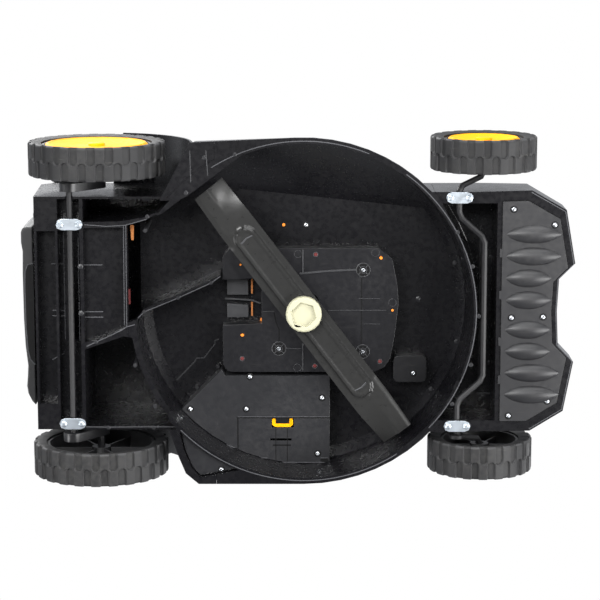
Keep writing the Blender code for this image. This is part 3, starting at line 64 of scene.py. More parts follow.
# White surroundings seen by the camera, with a softer grey light for everything else.
# That light is dark straight below, behind the camera, and grows towards the sides, so only edges catch it.
world = bpy.data.worlds.new("studio")
world.use_nodes = True
bpy.context.scene.world = world
nodes, links = world.node_tree.nodes, world.node_tree.links
backdrop = nodes["Background"]
backdrop.inputs["Color"].default_value = (1.0, 1.0, 1.0, 1.0)
fill = nodes.new("ShaderNodeBackground")
fill.inputs["Color"].default_value = (0.93, 0.95, 1.0, 1.0)
heading = nodes.new("ShaderNodeTexCoord")
height = nodes.new("ShaderNodeSeparateXYZ")
links.new(heading.outputs["Generated"], height.inputs[0])
glow = nodes.new("ShaderNodeMapRange")
glow.interpolation_type = "SMOOTHSTEP"
glow.inputs["From Min"].default_value = -0.95
glow.inputs["From Max"].default_value = 0.05
glow.inputs["To Min"].default_value = 0.07
glow.inputs["To Max"].default_value = 0.75
links.new(height.outputs["Z"], glow.inputs["Value"])
links.new(glow.outputs["Result"], fill.inputs["Strength"])
path = nodes.new("ShaderNodeLightPath")
either = nodes.new("ShaderNodeMath")
either.operation = "MAXIMUM"
links.new(path.outputs["Is Camera Ray"], either.inputs[0])
links.new(path.outputs["Is Transmission Ray"], either.inputs[1])
pick = nodes.new("ShaderNodeMixShader")
links.new(either.outputs[0], pick.inputs[0])
links.new(fill.outputs[0], pick.inputs[1])
links.new(backdrop.outputs[0], pick.inputs[2])
links.new(pick.outputs[0], nodes["World Output"].inputs["Surface"])


def area_light(name, place, size, power, aim=(0.0, 0.0, 0.08)):
    """A square soft box that looks at a point."""
    lamp = bpy.data.lights.new(name, "AREA")
    lamp.energy = power
    lamp.size = size
    thing = bpy.data.objects.new(name, lamp)
    thing.location = place
    thing.rotation_euler = (Vector(aim) - Vector(place)).to_track_quat("-Z", "Y").to_euler()
    bpy.context.scene.collection.objects.link(thing)


area_light("key_below", (-0.9, -1.0, -1.8), 1.1, 66.0)
area_light("side_below", (1.7, 0.4, -1.2), 1.6, 80.0, (-0.15, 0.05, 0.08))
area_light("grazing_below", (0.35, -1.6, -0.45), 1.3, 24.0, (0.30, 0.0, 0.03))
area_light("rear_below", (-1.7, 0.6, -0.9), 0.7, 14.0)
area_light("blade_glint", (0.36, -0.83, -1.79), 0.25, 9.0, (-0.10, -0.16, 0.05))
area_light("key_above", (-1.1, -1.3, 1.9), 1.4, 50.0)
area_light("fill_above", (1.6, 1.2, 1.3), 1.2, 22.0)

# The pale floor under the wheels shows only from above, so the camera below looks straight through it.
FLOOR_HALF = 3.0
ground = bmesh.new()
bmesh.ops.create_grid(ground, x_segments=1, y_segments=1, size=FLOOR_HALF)
bmesh.ops.translate(ground, vec=(0, 0, -0.0005), verts=ground.verts)
mesh = bpy.data.meshes.new("floor")
ground.to_mesh(mesh)
ground.free()
floor = bpy.data.objects.new("floor", mesh)
bpy.context.scene.collection.objects.link(floor)
paint = bpy.data.materials.new("floor")
paint.use_nodes = True
nodes, links = paint.node_tree.nodes, paint.node_tree.links
nodes["Principled BSDF"].inputs["Base Color"].default_value = (0.86, 0.86, 0.86, 1.0)
nodes["Principled BSDF"].inputs["Roughness"].default_value = 0.8
path = nodes.new("ShaderNodeLightPath")
side = nodes.new("ShaderNodeNewGeometry")
front = nodes.new("ShaderNodeMath")
front.operation = "SUBTRACT"
front.inputs[0].default_value = 1.0
links.new(side.outputs["Backfacing"], front.inputs[1])
shown = nodes.new("ShaderNodeMath")
shown.operation = "MULTIPLY"
links.new(path.outputs["Is Camera Ray"], shown.inputs[0])
links.new(front.outputs[0], shown.inputs[1])
clear = nodes.new("ShaderNodeBsdfTransparent")
pick = nodes.new("ShaderNodeMixShader")
links.new(shown.outputs[0], pick.inputs[0])
links.new(clear.outputs[0], pick.inputs[1])
links.new(nodes["Principled BSDF"].outputs[0], pick.inputs[2])
links.new(pick.outputs[0], nodes["Material Output"].inputs["Surface"])
mesh.materials.append(paint)


# The deck, the rear body and the nose are one black plastic moulding with a slight gloss.
# Its surface has fine grain, faint wear and settled dust. That surface is a node group, made once,
# and the other moulded, coated and metal pieces take it with their own values.
def surface_group():
    """Fine grain, faint wear and settled dust, given out as colour, roughness and normal."""
    group = bpy.data.node_groups.new("worn_surface", "ShaderNodeTree")
    face = group.interface
    for name, kind, value in (
        ("Colour", "NodeSocketColor", (0.02, 0.02, 0.02, 1.0)),
        ("Dust Colour", "NodeSocketColor", (0.2, 0.19, 0.17, 1.0)),
        ("Dust", "NodeSocketFloat", 0.3),
        ("Roughness", "NodeSocketFloat", 0.45),
        ("Mottle", "NodeSocketFloat", 0.1),
        ("Grain Scale", "NodeSocketFloat", 900.0),
        ("Grain", "NodeSocketFloat", 0.2),
        ("Scratches", "NodeSocketFloat", 0.2),
    ):
        socket = face.new_socket(name, in_out="INPUT", socket_type=kind)
        socket.default_value = value
    face.new_socket("Colour", in_out="OUTPUT", socket_type="NodeSocketColor")
    face.new_socket("Roughness", in_out="OUTPUT", socket_type="NodeSocketFloat")
    face.new_socket("Normal", in_out="OUTPUT", socket_type="NodeSocketVector")
    nodes, links = group.nodes, group.links
    given = nodes.new("NodeGroupInput")
    result = nodes.new("NodeGroupOutput")
    place = nodes.new("ShaderNodeTexCoord")

    def noise(scale, detail=4.0, stretch=None):
        cloud = nodes.new("ShaderNodeTexNoise")
        cloud.inputs["Scale"].default_value = scale
        cloud.inputs["Detail"].default_value = detail
        source = place.outputs["Object"]
        if stretch:
            mapping = nodes.new("ShaderNodeMapping")
            mapping.inputs["Scale"].default_value = stretch
            mapping.inputs["Rotation"].default_value = (0.3, 0.2, 0.7)
            links.new(source, mapping.inputs["Vector"])
            source = mapping.outputs["Vector"]
        links.new(source, cloud.inputs["Vector"])
        return cloud

    def ramp(source, low, high, top=1.0):
        span = nodes.new("ShaderNodeMapRange")
        span.inputs["From Min"].default_value = low
        span.inputs["From Max"].default_value = high
        span.inputs["To Max"].default_value = top
        links.new(source, span.inputs["Value"])
        return span.outputs["Result"]

    def math_node(operation, first, second):
        step = nodes.new("ShaderNodeMath")
        step.operation = operation
        for number, value in enumerate((first, second)):
            if isinstance(value, float):
                step.inputs[number].default_value = value
            else:
                links.new(value, step.inputs[number])
        return step.outputs[0]

    broad = noise(9.0, 5.0)
    fine = noise(160.0, 3.0)
    marks = noise(26.0, 6.0, (1.0, 14.0, 1.0))
    scratch = ramp(marks.outputs["Fac"], 0.66, 0.74)
    patches = ramp(broad.outputs["Fac"], 0.42, 0.72)
    specks = ramp(fine.outputs["Fac"], 0.35, 0.75)
    dusty = math_node("MULTIPLY", patches, specks)
    dusty = math_node("MULTIPLY", dusty, given.outputs["Dust"])
    worn = math_node("MULTIPLY", scratch, given.outputs["Scratches"])
    mixed = nodes.new("ShaderNodeMix")
    mixed.data_type = "RGBA"
    links.new(math_node("MAXIMUM", dusty, math_node("MULTIPLY", worn, 0.35)), mixed.inputs["Factor"])
    tone = nodes.new("ShaderNodeHueSaturation")
    links.new(given.outputs["Colour"], tone.inputs["Color"])
    shade = math_node("MULTIPLY", ramp(broad.outputs["Fac"], 0.3, 0.7, 2.0), given.outputs["Mottle"])
    shade = math_node("SUBTRACT", shade, given.outputs["Mottle"])
    links.new(math_node("ADD", shade, 1.0), tone.inputs["Value"])
    links.new(tone.outputs["Color"], mixed.inputs["A"])
    links.new(given.outputs["Dust Colour"], mixed.inputs["B"])
    rough = math_node("ADD", given.outputs["Roughness"], math_node("MULTIPLY", dusty, 0.35))
    rough = math_node("ADD", rough, math_node("MULTIPLY", ramp(fine.outputs["Fac"], 0.3, 0.7), 0.06))
    grain = nodes.new("ShaderNodeTexNoise")
    links.new(place.outputs["Object"], grain.inputs["Vector"])
    links.new(given.outputs["Grain Scale"], grain.inputs["Scale"])
    relief = math_node("SUBTRACT", grain.outputs["Fac"], math_node("MULTIPLY", worn, 0.8))
    bump = nodes.new("ShaderNodeBump")
    bump.inputs["Distance"].default_value = 0.0003
    links.new(relief, bump.inputs["Height"])
    links.new(given.outputs["Grain"], bump.inputs["Strength"])
    links.new(mixed.outputs["Result"], result.inputs["Colour"])
    links.new(rough, result.inputs["Roughness"])
    links.new(bump.outputs["Normal"], result.inputs["Normal"])
    return group


worn_surface = surface_group()


def material(name, colour, roughness, metallic=0.0, coat=0.0, specular=0.5, **values):
    """A Principled material fed by the shared surface."""
    made = bpy.data.materials.new(name)
    made.use_nodes = True
    nodes, links = made.node_tree.nodes, made.node_tree.links
    shader = nodes["Principled BSDF"]
    group = nodes.new("ShaderNodeGroup")
    group.node_tree = worn_surface
    group.inputs["Colour"].default_value = (*colour, 1.0)
    group.inputs["Roughness"].default_value = roughness
    for key, value in values.items():
        socket = group.inputs[key.replace("_", " ").title()]
        socket.default_value = (*value, 1.0) if isinstance(value, tuple) else value
    links.new(group.outputs["Colour"], shader.inputs["Base Color"])
    links.new(group.outputs["Roughness"], shader.inputs["Roughness"])
    links.new(group.outputs["Normal"], shader.inputs["Normal"])
    shader.inputs["Metallic"].default_value = metallic
    shader.inputs["Coat Weight"].default_value = coat
    shader.inputs["Specular IOR Level"].default_value = specular
    return made


def round_edges_group():
    """Smooth shading for the round faces of the faceted solids, with their real edges kept sharp."""
    group = bpy.data.node_groups.new("round_shading", "GeometryNodeTree")
    group.interface.new_socket("Geometry", in_out="INPUT", socket_type="NodeSocketGeometry")
    group.interface.new_socket("Geometry", in_out="OUTPUT", socket_type="NodeSocketGeometry")
    nodes, links = group.nodes, group.links
    given = nodes.new("NodeGroupInput")
    result = nodes.new("NodeGroupOutput")
    weld = nodes.new("GeometryNodeMergeByDistance")
    weld.inputs["Distance"].default_value = 0.000002
    links.new(given.outputs[0], weld.inputs["Geometry"])
    plain = nodes.new("GeometryNodeRemoveAttribute")
    plain.inputs["Name"].default_value = "custom_normal"
    links.new(weld.outputs[0], plain.inputs["Geometry"])
    smooth = nodes.new("GeometryNodeSetShadeSmooth")
    smooth.domain = "FACE"
    links.new(plain.outputs[0], smooth.inputs["Geometry"])
    angle = nodes.new("GeometryNodeInputMeshEdgeAngle")
    steep = nodes.new("FunctionNodeCompare")
    steep.operation = "GREATER_THAN"
    steep.inputs["B"].default_value = math.radians(32)
    links.new(angle.outputs["Unsigned Angle"], steep.inputs["A"])
    sharp = nodes.new("GeometryNodeSetShadeSmooth")
    sharp.domain = "EDGE"
    sharp.inputs["Shade Smooth"].default_value = False
    links.new(smooth.outputs[0], sharp.inputs["Geometry"])
    links.new(steep.outputs["Result"], sharp.inputs["Selection"])
    links.new(sharp.outputs[0], result.inputs[0])
    return group


round_shading = round_edges_group()


def soften_edges(piece, width):
    """Round the sharp edges of a piece a little."""
    soften = piece.modifiers.new("edge", "BEVEL")
    soften.width = width
    soften.segments = 2
    soften.limit_method = "ANGLE"
    soften.angle_limit = math.radians(40)
    soften.harden_normals = True


def dress(name, finish, edge=0.0005):
    """Give a CAD node its finish, smooth shading and slightly rounded edges."""
    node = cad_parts[name]
    for holder in node.material_slots:
        holder.material = finish
    shade = node.modifiers.new("round_shading", "NODES")
    shade.node_group = round_shading
    if edge:
        soften_edges(node, edge)


deck_black = material("deck_black", (0.0035, 0.0034, 0.0044), 0.25, dust=0.02, mottle=0.25, grain=0.05,
                      scratches=0.04)
for name in ("deck", "rear_body", "nose"):
    dress(name, deck_black, 0)

# A grey plastic panel closes the nose from below, held by six screws.
# The motor plate and the covers beside it are black and dark grey plastic, screwed up into the chamber.
panel_grey = material("panel_grey", (0.0135, 0.0135, 0.0150), 0.42, dust=0.06, mottle=0.15, grain=0.12)
dress("front_panel", panel_grey, 0)
cover_black = material("cover_black", (0.0085, 0.0085, 0.0100), 0.28, dust=0.03, mottle=0.2, grain=0.12)
dress("motor_plate", cover_black)
cover_grey = material("cover_grey", (0.0140, 0.0142, 0.0160), 0.32, dust=0.04, mottle=0.2, grain=0.14)
for name in ("electronics_cover", "side_box", "corner_cover"):
    dress(name, cover_grey)

# Levers, brackets, knobs, the rear flap, the battery with its bay and the switch box are black mouldings.
# The carrier that the blade is bolted to has the same finish.
fitting_black = material("fitting_black", (0.0075, 0.0075, 0.0085), 0.30, dust=0.03, grain=0.12)
for name in ("ceiling_bracket", "rear_right_arm", "height_lever", "rear_flap", "battery_bay", "key_socket",
             "left_handle_bracket", "right_handle_bracket", "left_lower_knob", "right_lower_knob",
             "left_fold_knob", "right_fold_knob", "switch_box", "battery_pack", "blade_carrier"):
    dress(name, fitting_black)

# The motor cover, the battery lid, the side latch, the start button and the bail are yellow plastic.
# The key that arms the mower is red.
mower_yellow = material("mower_yellow", (0.93, 0.40, 0.001), 0.5, dust=0.0, specular=0.12, mottle=0.03,
                        grain=0.06, scratches=0.1, dust_colour=(0.7, 0.45, 0.1))
for name in ("motor_cover", "battery_lid", "side_latch", "start_button", "bail_lever"):
    dress(name, mower_yellow)
key_red = material("key_red", (0.50, 0.02, 0.012), 0.35, dust=0.05)
dress("safety_key", key_red)


# Four wheels: a moulded black tyre on a black plastic rim, its tread painted paler along the walls of its
# recesses as a highlight and darker on their floors as shade.
# A yellow hubcap snaps into the outer side of each.
CORNERS = ("rear_left", "rear_right", "front_left", "front_right")


def tint_by(made, attribute, colour):
    """Blend a finish towards a colour where the mesh's own attribute says so."""
    nodes, links = made.node_tree.nodes, made.node_tree.links
    shader = nodes["Principled BSDF"]
    source = shader.inputs["Base Color"].links[0].from_socket
    value = nodes.new("ShaderNodeAttribute")
    value.attribute_name = attribute
    mix = nodes.new("ShaderNodeMix")
    mix.data_type = "RGBA"
    mix.inputs["B"].default_value = (*colour, 1.0)
    links.new(value.outputs["Fac"], mix.inputs["Factor"])
    links.new(source, mix.inputs["A"])
    links.new(mix.outputs["Result"], shader.inputs["Base Color"])


tyre_black = material("tyre_black", (0.0065, 0.0065, 0.0070), 0.55, specular=0.3, dust=0.15, mottle=0.2,
                      grain=0.3, scratches=0.5)
# This tint paints the tread's highlight and shade.
tint_by(tyre_black, "painted_tread_light", (0.085, 0.085, 0.088))
rim_black = material("rim_black", (0.012, 0.012, 0.013), 0.42, dust=0.10, grain=0.15)
for corner in CORNERS:
    dress(corner + "_tyre", tyre_black, 0.0006)
    dress(corner + "_rim", rim_black, 0)
    dress(corner + "_hubcap", mower_yellow, 0)

# Two rods of blackened steel carry the wheels, a straight one behind and a bent one in front.
# A zinc-plated link joins them, and stamped clamps with the same plating hold them to the body.
dark_rod = material("dark_rod", (0.008, 0.008, 0.009), 0.42, specular=0.3, dust=0.10, grain=0.1)
for name in ("rear_axle", "front_axle"):
    dress(name, dark_rod, 0)
zinc = material("zinc", (0.60, 0.66, 0.72), 0.32, metallic=0.85, dust=0.15, mottle=0.12, grain=0.2,
                grain_scale=500.0, dust_colour=(0.5, 0.52, 0.55))
for corner in CORNERS:
    dress(corner + "_clamp", zinc, 0.0004)
dress("height_link", zinc)

# The blade is dark coated steel under one large cream bolt with a hexagonal head.
# The motor and its shaft, the controller's case and the pins of lid and flap are plain steel.
blade_steel = material("blade_steel", (0.026, 0.026, 0.0255), 0.27, metallic=0.35, dust=0.02, mottle=0.04,
                       grain=0.05, scratches=0.15, dust_colour=(0.16, 0.155, 0.14))
dress("blade", blade_steel, 0.0006)
bolt_cream = material("bolt_cream", (0.42, 0.41, 0.29), 0.46, specular=0.3, dust=0.10, mottle=0.05, grain=0.1,
                      dust_colour=(0.55, 0.5, 0.35))
dress("blade_bolt", bolt_cream, 0.0008)
plain_steel = material("plain_steel", (0.42, 0.43, 0.45), 0.34, metallic=0.95, mottle=0.1)
for name in ("motor_shaft", "motor_housing", "controller", "lid_pin", "flap_rod"):
    dress(name, plain_steel, 0)

# The folding handle is made of lacquered black steel tubes.
# Two foam grips are pushed over its upper loop.
tube_black = material("tube_black", (0.012, 0.012, 0.013), 0.30, coat=0.2, dust=0.08, grain=0.1)
for name in ("left_lower_tube", "right_lower_tube", "upper_handle"):
    dress(name, tube_black, 0)
foam = material("foam", (0.012, 0.012, 0.012), 0.9, dust=0.1, grain=0.9, grain_scale=600.0)
for name in ("left_grip", "right_grip"):
    dress(name, foam)


# Bright screws: a domed head with a small round recess, on a thin dark ring of painted shadow.
# They hold the covers, the nose panel and the bracket, at the heights of those faces.
# Small details like these are collected in one mesh a group, with heights along a normal that points down.
PANEL_Z, CORNER_Z, COVER_Z, CEILING_Z = 0.0305, 0.040, 0.090, 0.120
DOWN = (0.0, 0.0, -1.0)


def lathe(shape, profile, steps, place, normal=DOWN):
    """Spin a profile of (radius, height) pairs about a line through place."""
    lay = Vector(normal).to_track_quat("Z", "Y").to_matrix().to_4x4()
    stand = Matrix.Translation(place) @ lay
    ring = [shape.verts.new(stand @ Vector((radius, 0.0, height))) for radius, height in profile]
    edges = [shape.edges.new(pair) for pair in zip(ring, ring[1:])]
    bmesh.ops.spin(shape, geom=ring + edges, cent=place, axis=Vector(normal), angle=2 * math.pi, steps=steps)


def publish(name, shape, finish, body="chassis", edge=0.0):
    """Close the collected shapes, give them a finish and set them riding on a body."""
    bmesh.ops.remove_doubles(shape, verts=shape.verts, dist=0.000001)
    bmesh.ops.recalc_face_normals(shape, faces=shape.faces)
    mesh = bpy.data.meshes.new(name)
    shape.to_mesh(mesh)
    shape.free()
    mesh.shade_smooth()
    mesh.set_sharp_from_angle(angle=math.radians(35))
    piece = bpy.data.objects.new(name, mesh)
    mesh.materials.append(finish)
    bpy.context.scene.collection.objects.link(piece)
    if edge:
        soften_edges(piece, edge)
    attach(piece, body)
    return piece


screw_places = [
    (0.2762, -0.1362, PANEL_Z), (0.3281, -0.1163, PANEL_Z), (0.2752, 0.0026, PANEL_Z),
    (0.3154, 0.0016, PANEL_Z), (0.3226, 0.1110, PANEL_Z), (0.2734, 0.1301, PANEL_Z),
    (-0.058, 0.092, COVER_Z), (-0.136, 0.135, COVER_Z), (-0.063, 0.135, COVER_Z), (0.036, 0.120, COVER_Z),
    (0.0303, 0.1949, COVER_Z), (-0.094, 0.203, CORNER_Z), (0.155, 0.089, 0.098), (0.0150, -0.1035, CEILING_Z),
]
steel_screw = material("steel_screw", (0.62, 0.64, 0.67), 0.22, metallic=0.95, mottle=0.1, grain=0.1)
# A near-black finish for painted shade and painted shadow.
shadow_black = material("shadow_black", (0.0015, 0.0015, 0.0018), 0.6, dust=0.01, specular=0.2)
SCREW_HEAD = [(0.0, 0.0006), (0.0010, 0.0006), (0.0012, 0.0019), (0.0020, 0.0018), (0.0027, 0.0012),
              (0.0031, 0.0004), (0.0031, 0.0)]
SCREW_SHADOW = [(0.0, 0.0001), (0.0043, 0.0001), (0.0047, 0.0)]
screws = bmesh.new()
shadow_rings = bmesh.new()
for place in screw_places:
    lathe(screws, SCREW_HEAD, 20, place)
    lathe(shadow_rings, SCREW_SHADOW, 24, place)
publish("cover_screws", screws, steel_screw)
publish("screw_shadow_rings", shadow_rings, shadow_black)


# Small round bosses stand along the rims of the walls, where pins pushed the deck out of its mould.
# Those on the chamber's rear wall and on the chute guide are columns that run up towards the ceiling.
# ROOT is how far most small details reach into the face behind them.
RIM_Z, BODY_Z, POCKET_Z = 0.032, 0.0475, 0.100
ROOT = 0.0006


def pin(shape, x, y, surface, radius=0.0026, height=0.0008, depth=ROOT):
    """A short round boss with a soft rim on a flat face."""
    profile = [(0.0, height), (radius * 0.72, height), (radius, height - 0.0006), (radius * 1.06, -depth)]
    lathe(shape, profile, 16, (x, y, surface))


BOSS_COLUMNS = (
    (0.0375, 0.0022, 0.080, ((-0.2034, 0.0660), (-0.1785, 0.1190), (-0.1884, -0.1078))),
    (0.0672, 0.0020, 0.052, ((-0.1933, 0.0021), (-0.1494, -0.0162), (-0.1069, -0.0357))),
    (0.1100, 0.0020, 0.010, ((-0.1002, 0.0833), (-0.1280, 0.1108))),
)
bosses = bmesh.new()
for x, y in ((0.2059, -0.1065), (0.2255, -0.0629), (0.2341, 0.0011), (0.2248, 0.0642), (0.2017, 0.1154),
             (-0.1130, -0.2012), (-0.0746, -0.2050), (-0.1360, -0.1569)):
    pin(bosses, x, y, RIM_Z, 0.0027, 0.0006, depth=0.003)
for x, y in ((-0.1863, -0.1244), (-0.1811, 0.1500), (-0.2397, 0.1500), (-0.2539, 0.0375)):
    pin(bosses, x, y, BODY_Z, 0.0027, 0.0006, depth=0.003)
for foot, radius, reach, places in BOSS_COLUMNS:
    column = [(0.0, 0.0), (radius, 0.0), (radius + 0.0005, -0.0006), (radius + 0.0007, -reach)]
    for x, y in places:
        lathe(bosses, column, 16, (x, y, foot))
for x, y in ((0.2086, -0.0545), (0.2120, 0.0498), (0.1792, 0.1135)):
    pin(bosses, x, y, 0.1115, 0.0030, depth=0.004)
pin(bosses, 0.1618, -0.0058, CEILING_Z, 0.0034, 0.0012)
for x, y in ((0.2550, -0.0645), (0.2534, 0.0758)):
    pin(bosses, x, y, POCKET_Z, 0.0030, 0.0012)
for x, y in ((-0.2719, -0.0605), (-0.2719, 0.0000)):
    pin(bosses, x, y, BODY_Z, 0.0034, 0.0010)
publish("wall_bosses", bosses, cover_grey)


# The underside of the nose: a grey panel with eight smooth boat-shaped swellings and four tabs.
# The swellings are thin at both ends and round across, and a wider gap parts the first four from the rest.
BOAT_ROWS, BOAT_COLUMNS = 36, 16


def slab(shape, outline, low, high):
    """Raise a flat outline, drawn in XY, between two heights."""
    floor_ring = [shape.verts.new((x, y, low)) for x, y in outline]
    face = shape.faces.new(floor_ring)
    raised = bmesh.ops.extrude_face_region(shape, geom=[face])
    lifted = [item for item in raised["geom"] if isinstance(item, bmesh.types.BMVert)]
    bmesh.ops.translate(shape, vec=(0, 0, high - low), verts=lifted)


def block(shape, near, far, low, high):
    """Raise an upright rectangle, given by two opposite corners in XY, between two heights."""
    slab(shape, [near, (far[0], near[1]), far, (near[0], far[1])], low, high)


def boat(shape, x, y, long):
    """A swelling with its middle at a place on the panel, long in X."""
    reach, wide, deep = long / 2 + 0.0012, 0.0118, 0.0074
    rows = []
    for i in range(BOAT_ROWS + 1):
        t = -1 + 2 * i / BOAT_ROWS
        half = wide * max(0.0, 1 - abs(t) ** 2.2) ** 0.8
        rise = deep * (1 - abs(t) ** 2.4)
        row = []
        for j in range(BOAT_COLUMNS + 1):
            s = -1 + 2 * j / BOAT_COLUMNS
            drop = rise * max(0.0, math.cos(math.pi * s / 2)) ** 0.7
            row.append(shape.verts.new((x + t * reach, y + s * half, PANEL_Z + 0.0003 - drop)))
        rows.append(row)
    for first, second in zip(rows, rows[1:]):
        for a, b, c, d in zip(first, first[1:], second[1:], second):
            shape.faces.new((a, b, c, d))


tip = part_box("nose")[1][0]
panel_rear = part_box("front_panel")[0][0]
nose_plan = [
    (tip - 0.129, -0.158), (tip - 0.056, -0.160), (tip - 0.012, -0.135), (tip, -0.067),
    (tip - 0.020, -0.047), (tip - 0.022, -0.005), (tip - 0.020, 0.039), (tip, 0.060),
    (tip - 0.012, 0.124), (tip - 0.054, 0.150), (tip - 0.129, 0.151),
]


def shrink(points, share):
    """Draw points of the nose's outline in towards its middle."""
    return [(tip - 0.110 + (x - tip + 0.110) * share, -0.004 + (y + 0.004) * share) for x, y in points]


def at_panel_rear(first, second):
    """The point where a line through two points meets the panel's rear edge."""
    across = second[1] - first[1]
    along = second[0] - first[0]
    return (panel_rear, first[1] + across * (panel_rear - first[0]) / along)


panel_plan = shrink(nose_plan, 0.915)
panel_plan[0] = at_panel_rear(panel_plan[0], panel_plan[1])
panel_plan[-1] = at_panel_rear(panel_plan[-1], panel_plan[-2])
front_face = bmesh.new()
slab(front_face, panel_plan, PANEL_Z, PANEL_Z + 0.003)
for y in (-0.0804, -0.0265, 0.0337, 0.0830):
    block(front_face, (panel_rear - 0.003, y - 0.0055), (panel_rear + 0.001, y + 0.0055), PANEL_Z,
          PANEL_Z + 0.0012)
for row in range(8):
    long = 0.068 if row in (0, 1, 6, 7) else 0.056
    gap = 0.0100 if row > 3 else 0.0
    boat(front_face, panel_rear + 0.0057 + long / 2, -0.1043 + row * 0.0281 + gap, long)
piece = publish("front_panel_face", front_face, panel_grey, edge=0.0004)
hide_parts("front_panel")


# A thin lip along the nose's outer edge is painted light grey as a highlight, and a dark strip of painted
# shade fills the joint between the panel and the nose.
# The rim of the blade chamber and the body's lower edges carry the same painted highlight.
RIM_CENTRE, RIM_RADIUS = (0.012, -0.003), 0.2190
GUIDE_Z = 0.068


def strip(shape, points, width, low, high):
    """An upright rib of even width along a run of plan points."""
    sides = [[], []]
    for i, point in enumerate(points):
        before = Vector(points[max(i - 1, 0)])
        after = Vector(points[min(i + 1, len(points) - 1)])
        run = (after - before).normalized()
        across = Vector((-run.y, run.x)) * width / 2
        for side, sign in zip(sides, (1, -1)):
            x, y = Vector(point) + across * sign
            side.append([shape.verts.new((x, y, z)) for z in (low, high)])
    first, last = sides
    for i in range(len(points) - 1):
        for a, b in ((first[i], first[i + 1]), (last[i + 1], last[i])):
            shape.faces.new((a[0], b[0], b[1], a[1]))
        for level in (0, 1):
            shape.faces.new((first[i][level], first[i + 1][level], last[i + 1][level], last[i][level]))
    for a, b in ((first[0], last[0]), (first[-1], last[-1])):
        shape.faces.new((a[0], b[0], b[1], a[1]))


def ridge(shape, points, width, surface, height=0.0007):
    """A rib that stands down from a flat face along a run of points."""
    strip(shape, points, width, surface - height, surface + ROOT)


def arc(centre, radius, start, end, steps):
    """Points along an arc, angles in degrees."""
    angles = [math.radians(start + (end - start) * i / steps) for i in range(steps + 1)]
    return [(centre[0] + radius * math.cos(a), centre[1] + radius * math.sin(a)) for a in angles]


# This grey is the black plastic painted light, for painted highlights along edges, ribs and rims.
highlight_grey = material("highlight_grey", (0.062, 0.063, 0.068), 0.6, specular=0.2, dust=0.05, mottle=0.2, grain=0.1)
lips = bmesh.new()
ridge(lips, shrink(nose_plan[1:-1], 0.985), 0.0012, RIM_Z, 0.0004)
for start, end, steps in ((-54, 43, 48), (57, 136, 40), (-122, -68, 30)):
    ridge(lips, arc(RIM_CENTRE, RIM_RADIUS, start, end, steps), 0.0012, RIM_Z, 0.0003)
ridge(lips, [(-0.2165, -0.1134), (-0.2170, 0.0150)], 0.0008, BODY_Z, 0.0004)
ridge(lips, [(-0.2135, -0.1134), (-0.2141, 0.0165)], 0.0008, BODY_Z, 0.0004)
ridge(lips, [(-0.2657, 0.0430), (-0.2539, 0.0375), (-0.2321, 0.0275), (-0.2141, 0.0175), (-0.2035, 0.0147)],
      0.0011, BODY_Z, 0.0005)
ridge(lips, [(-0.2480, 0.0345), (-0.2190, 0.0215)], 0.0007, BODY_Z, 0.0004)
ridge(lips, [(-0.2686, 0.1487), (-0.2397, 0.1490), (-0.2032, 0.1487), (-0.1520, 0.1487)],
      0.0010, BODY_Z, 0.0005)
ridge(lips, [(-0.2661, -0.1142), (-0.2377, -0.1121), (-0.2144, -0.1134), (-0.1869, -0.1213)],
      0.0010, BODY_Z, 0.0005)
guide_edge = [(-0.0950, -0.0443), (-0.1069, -0.0357), (-0.1494, -0.0162), (-0.1933, 0.0021),
              (-0.2055, 0.0145)]
ridge(lips, guide_edge, 0.0010, GUIDE_Z, 0.0005)
publish("lip_highlights", lips, highlight_grey, edge=0.0002)
# Painted shade in the joint round the panel.
joint = bmesh.new()
strip(joint, panel_plan + panel_plan[:1], 0.0013, PANEL_Z + 0.0006, PANEL_Z + 0.0018)
publish("panel_joint_shade", joint, shadow_black)

# Low creases, painted a lighter grey than the black plastic as a highlight: one steps across the chamber's
# ceiling beside the electronics cover, two cross the rim of its right wall, and two lie in the pocket behind
# the nose panel.
rib_highlight_grey = material("rib_highlight_grey", (0.024, 0.0245, 0.027), 0.42, dust=0.08, mottle=0.15, grain=0.12)
creases = bmesh.new()
ridge(creases, [(-0.1562, 0.1043), (-0.1308, 0.0777), (-0.1291, 0.0734), (-0.1189, 0.0734), (-0.1046, 0.0546),
                (-0.1046, 0.0503), (-0.0987, 0.0478)], 0.0012, CEILING_Z, 0.0004)
ridge(creases, [(-0.1309, -0.2100), (-0.1300, -0.1700)], 0.0012, RIM_Z, 0.0005)
ridge(creases, [(-0.1108, -0.2100), (-0.1085, -0.1785)], 0.0012, RIM_Z, 0.0005)
ridge(creases, [(0.2380, 0.1162), (0.2558, 0.1162)], 0.0018, POCKET_Z, 0.0030)
ridge(creases, [(0.2400, -0.1050), (0.2400, 0.1080)], 0.0012, POCKET_Z, 0.0008)
publish("chamber_crease_highlights", creases, rib_highlight_grey, edge=0.0003)

# The rear tray is part of the body's moulding, with two long rails and short cross ribs painted light grey as
# highlights.
# It stops at the wall beside the discharge chute, and a shelf in front of it lies a little lower.
SHELF_Z, TRAY_Z = 0.0605, 0.0695
rails = bmesh.new()
ridge(rails, [(-0.2764, -0.1010), (-0.2764, 0.0400)], 0.0013, TRAY_Z, 0.0008)
ridge(rails, [(-0.2950, -0.1010), (-0.2950, 0.0380)], 0.0010, TRAY_Z, 0.0006)
for y in (-0.0605, 0.0003, 0.0074):
    ridge(rails, [(-0.3111, y), (-0.2945, y)], 0.0012, TRAY_Z, 0.0008)
    ridge(rails, [(-0.2690, y), (-0.2449, y)], 0.0012, SHELF_Z, 0.0008)
ridge(rails, [(-0.3124, 0.0651), (-0.2967, 0.0562)], 0.0012, TRAY_Z, 0.0008)
ridge(rails, [(-0.3005, -0.1069), (-0.3005, -0.0724)], 0.0010, TRAY_Z, 0.0006)
publish("tray_rail_highlights", rails, highlight_grey, edge=0.0003)
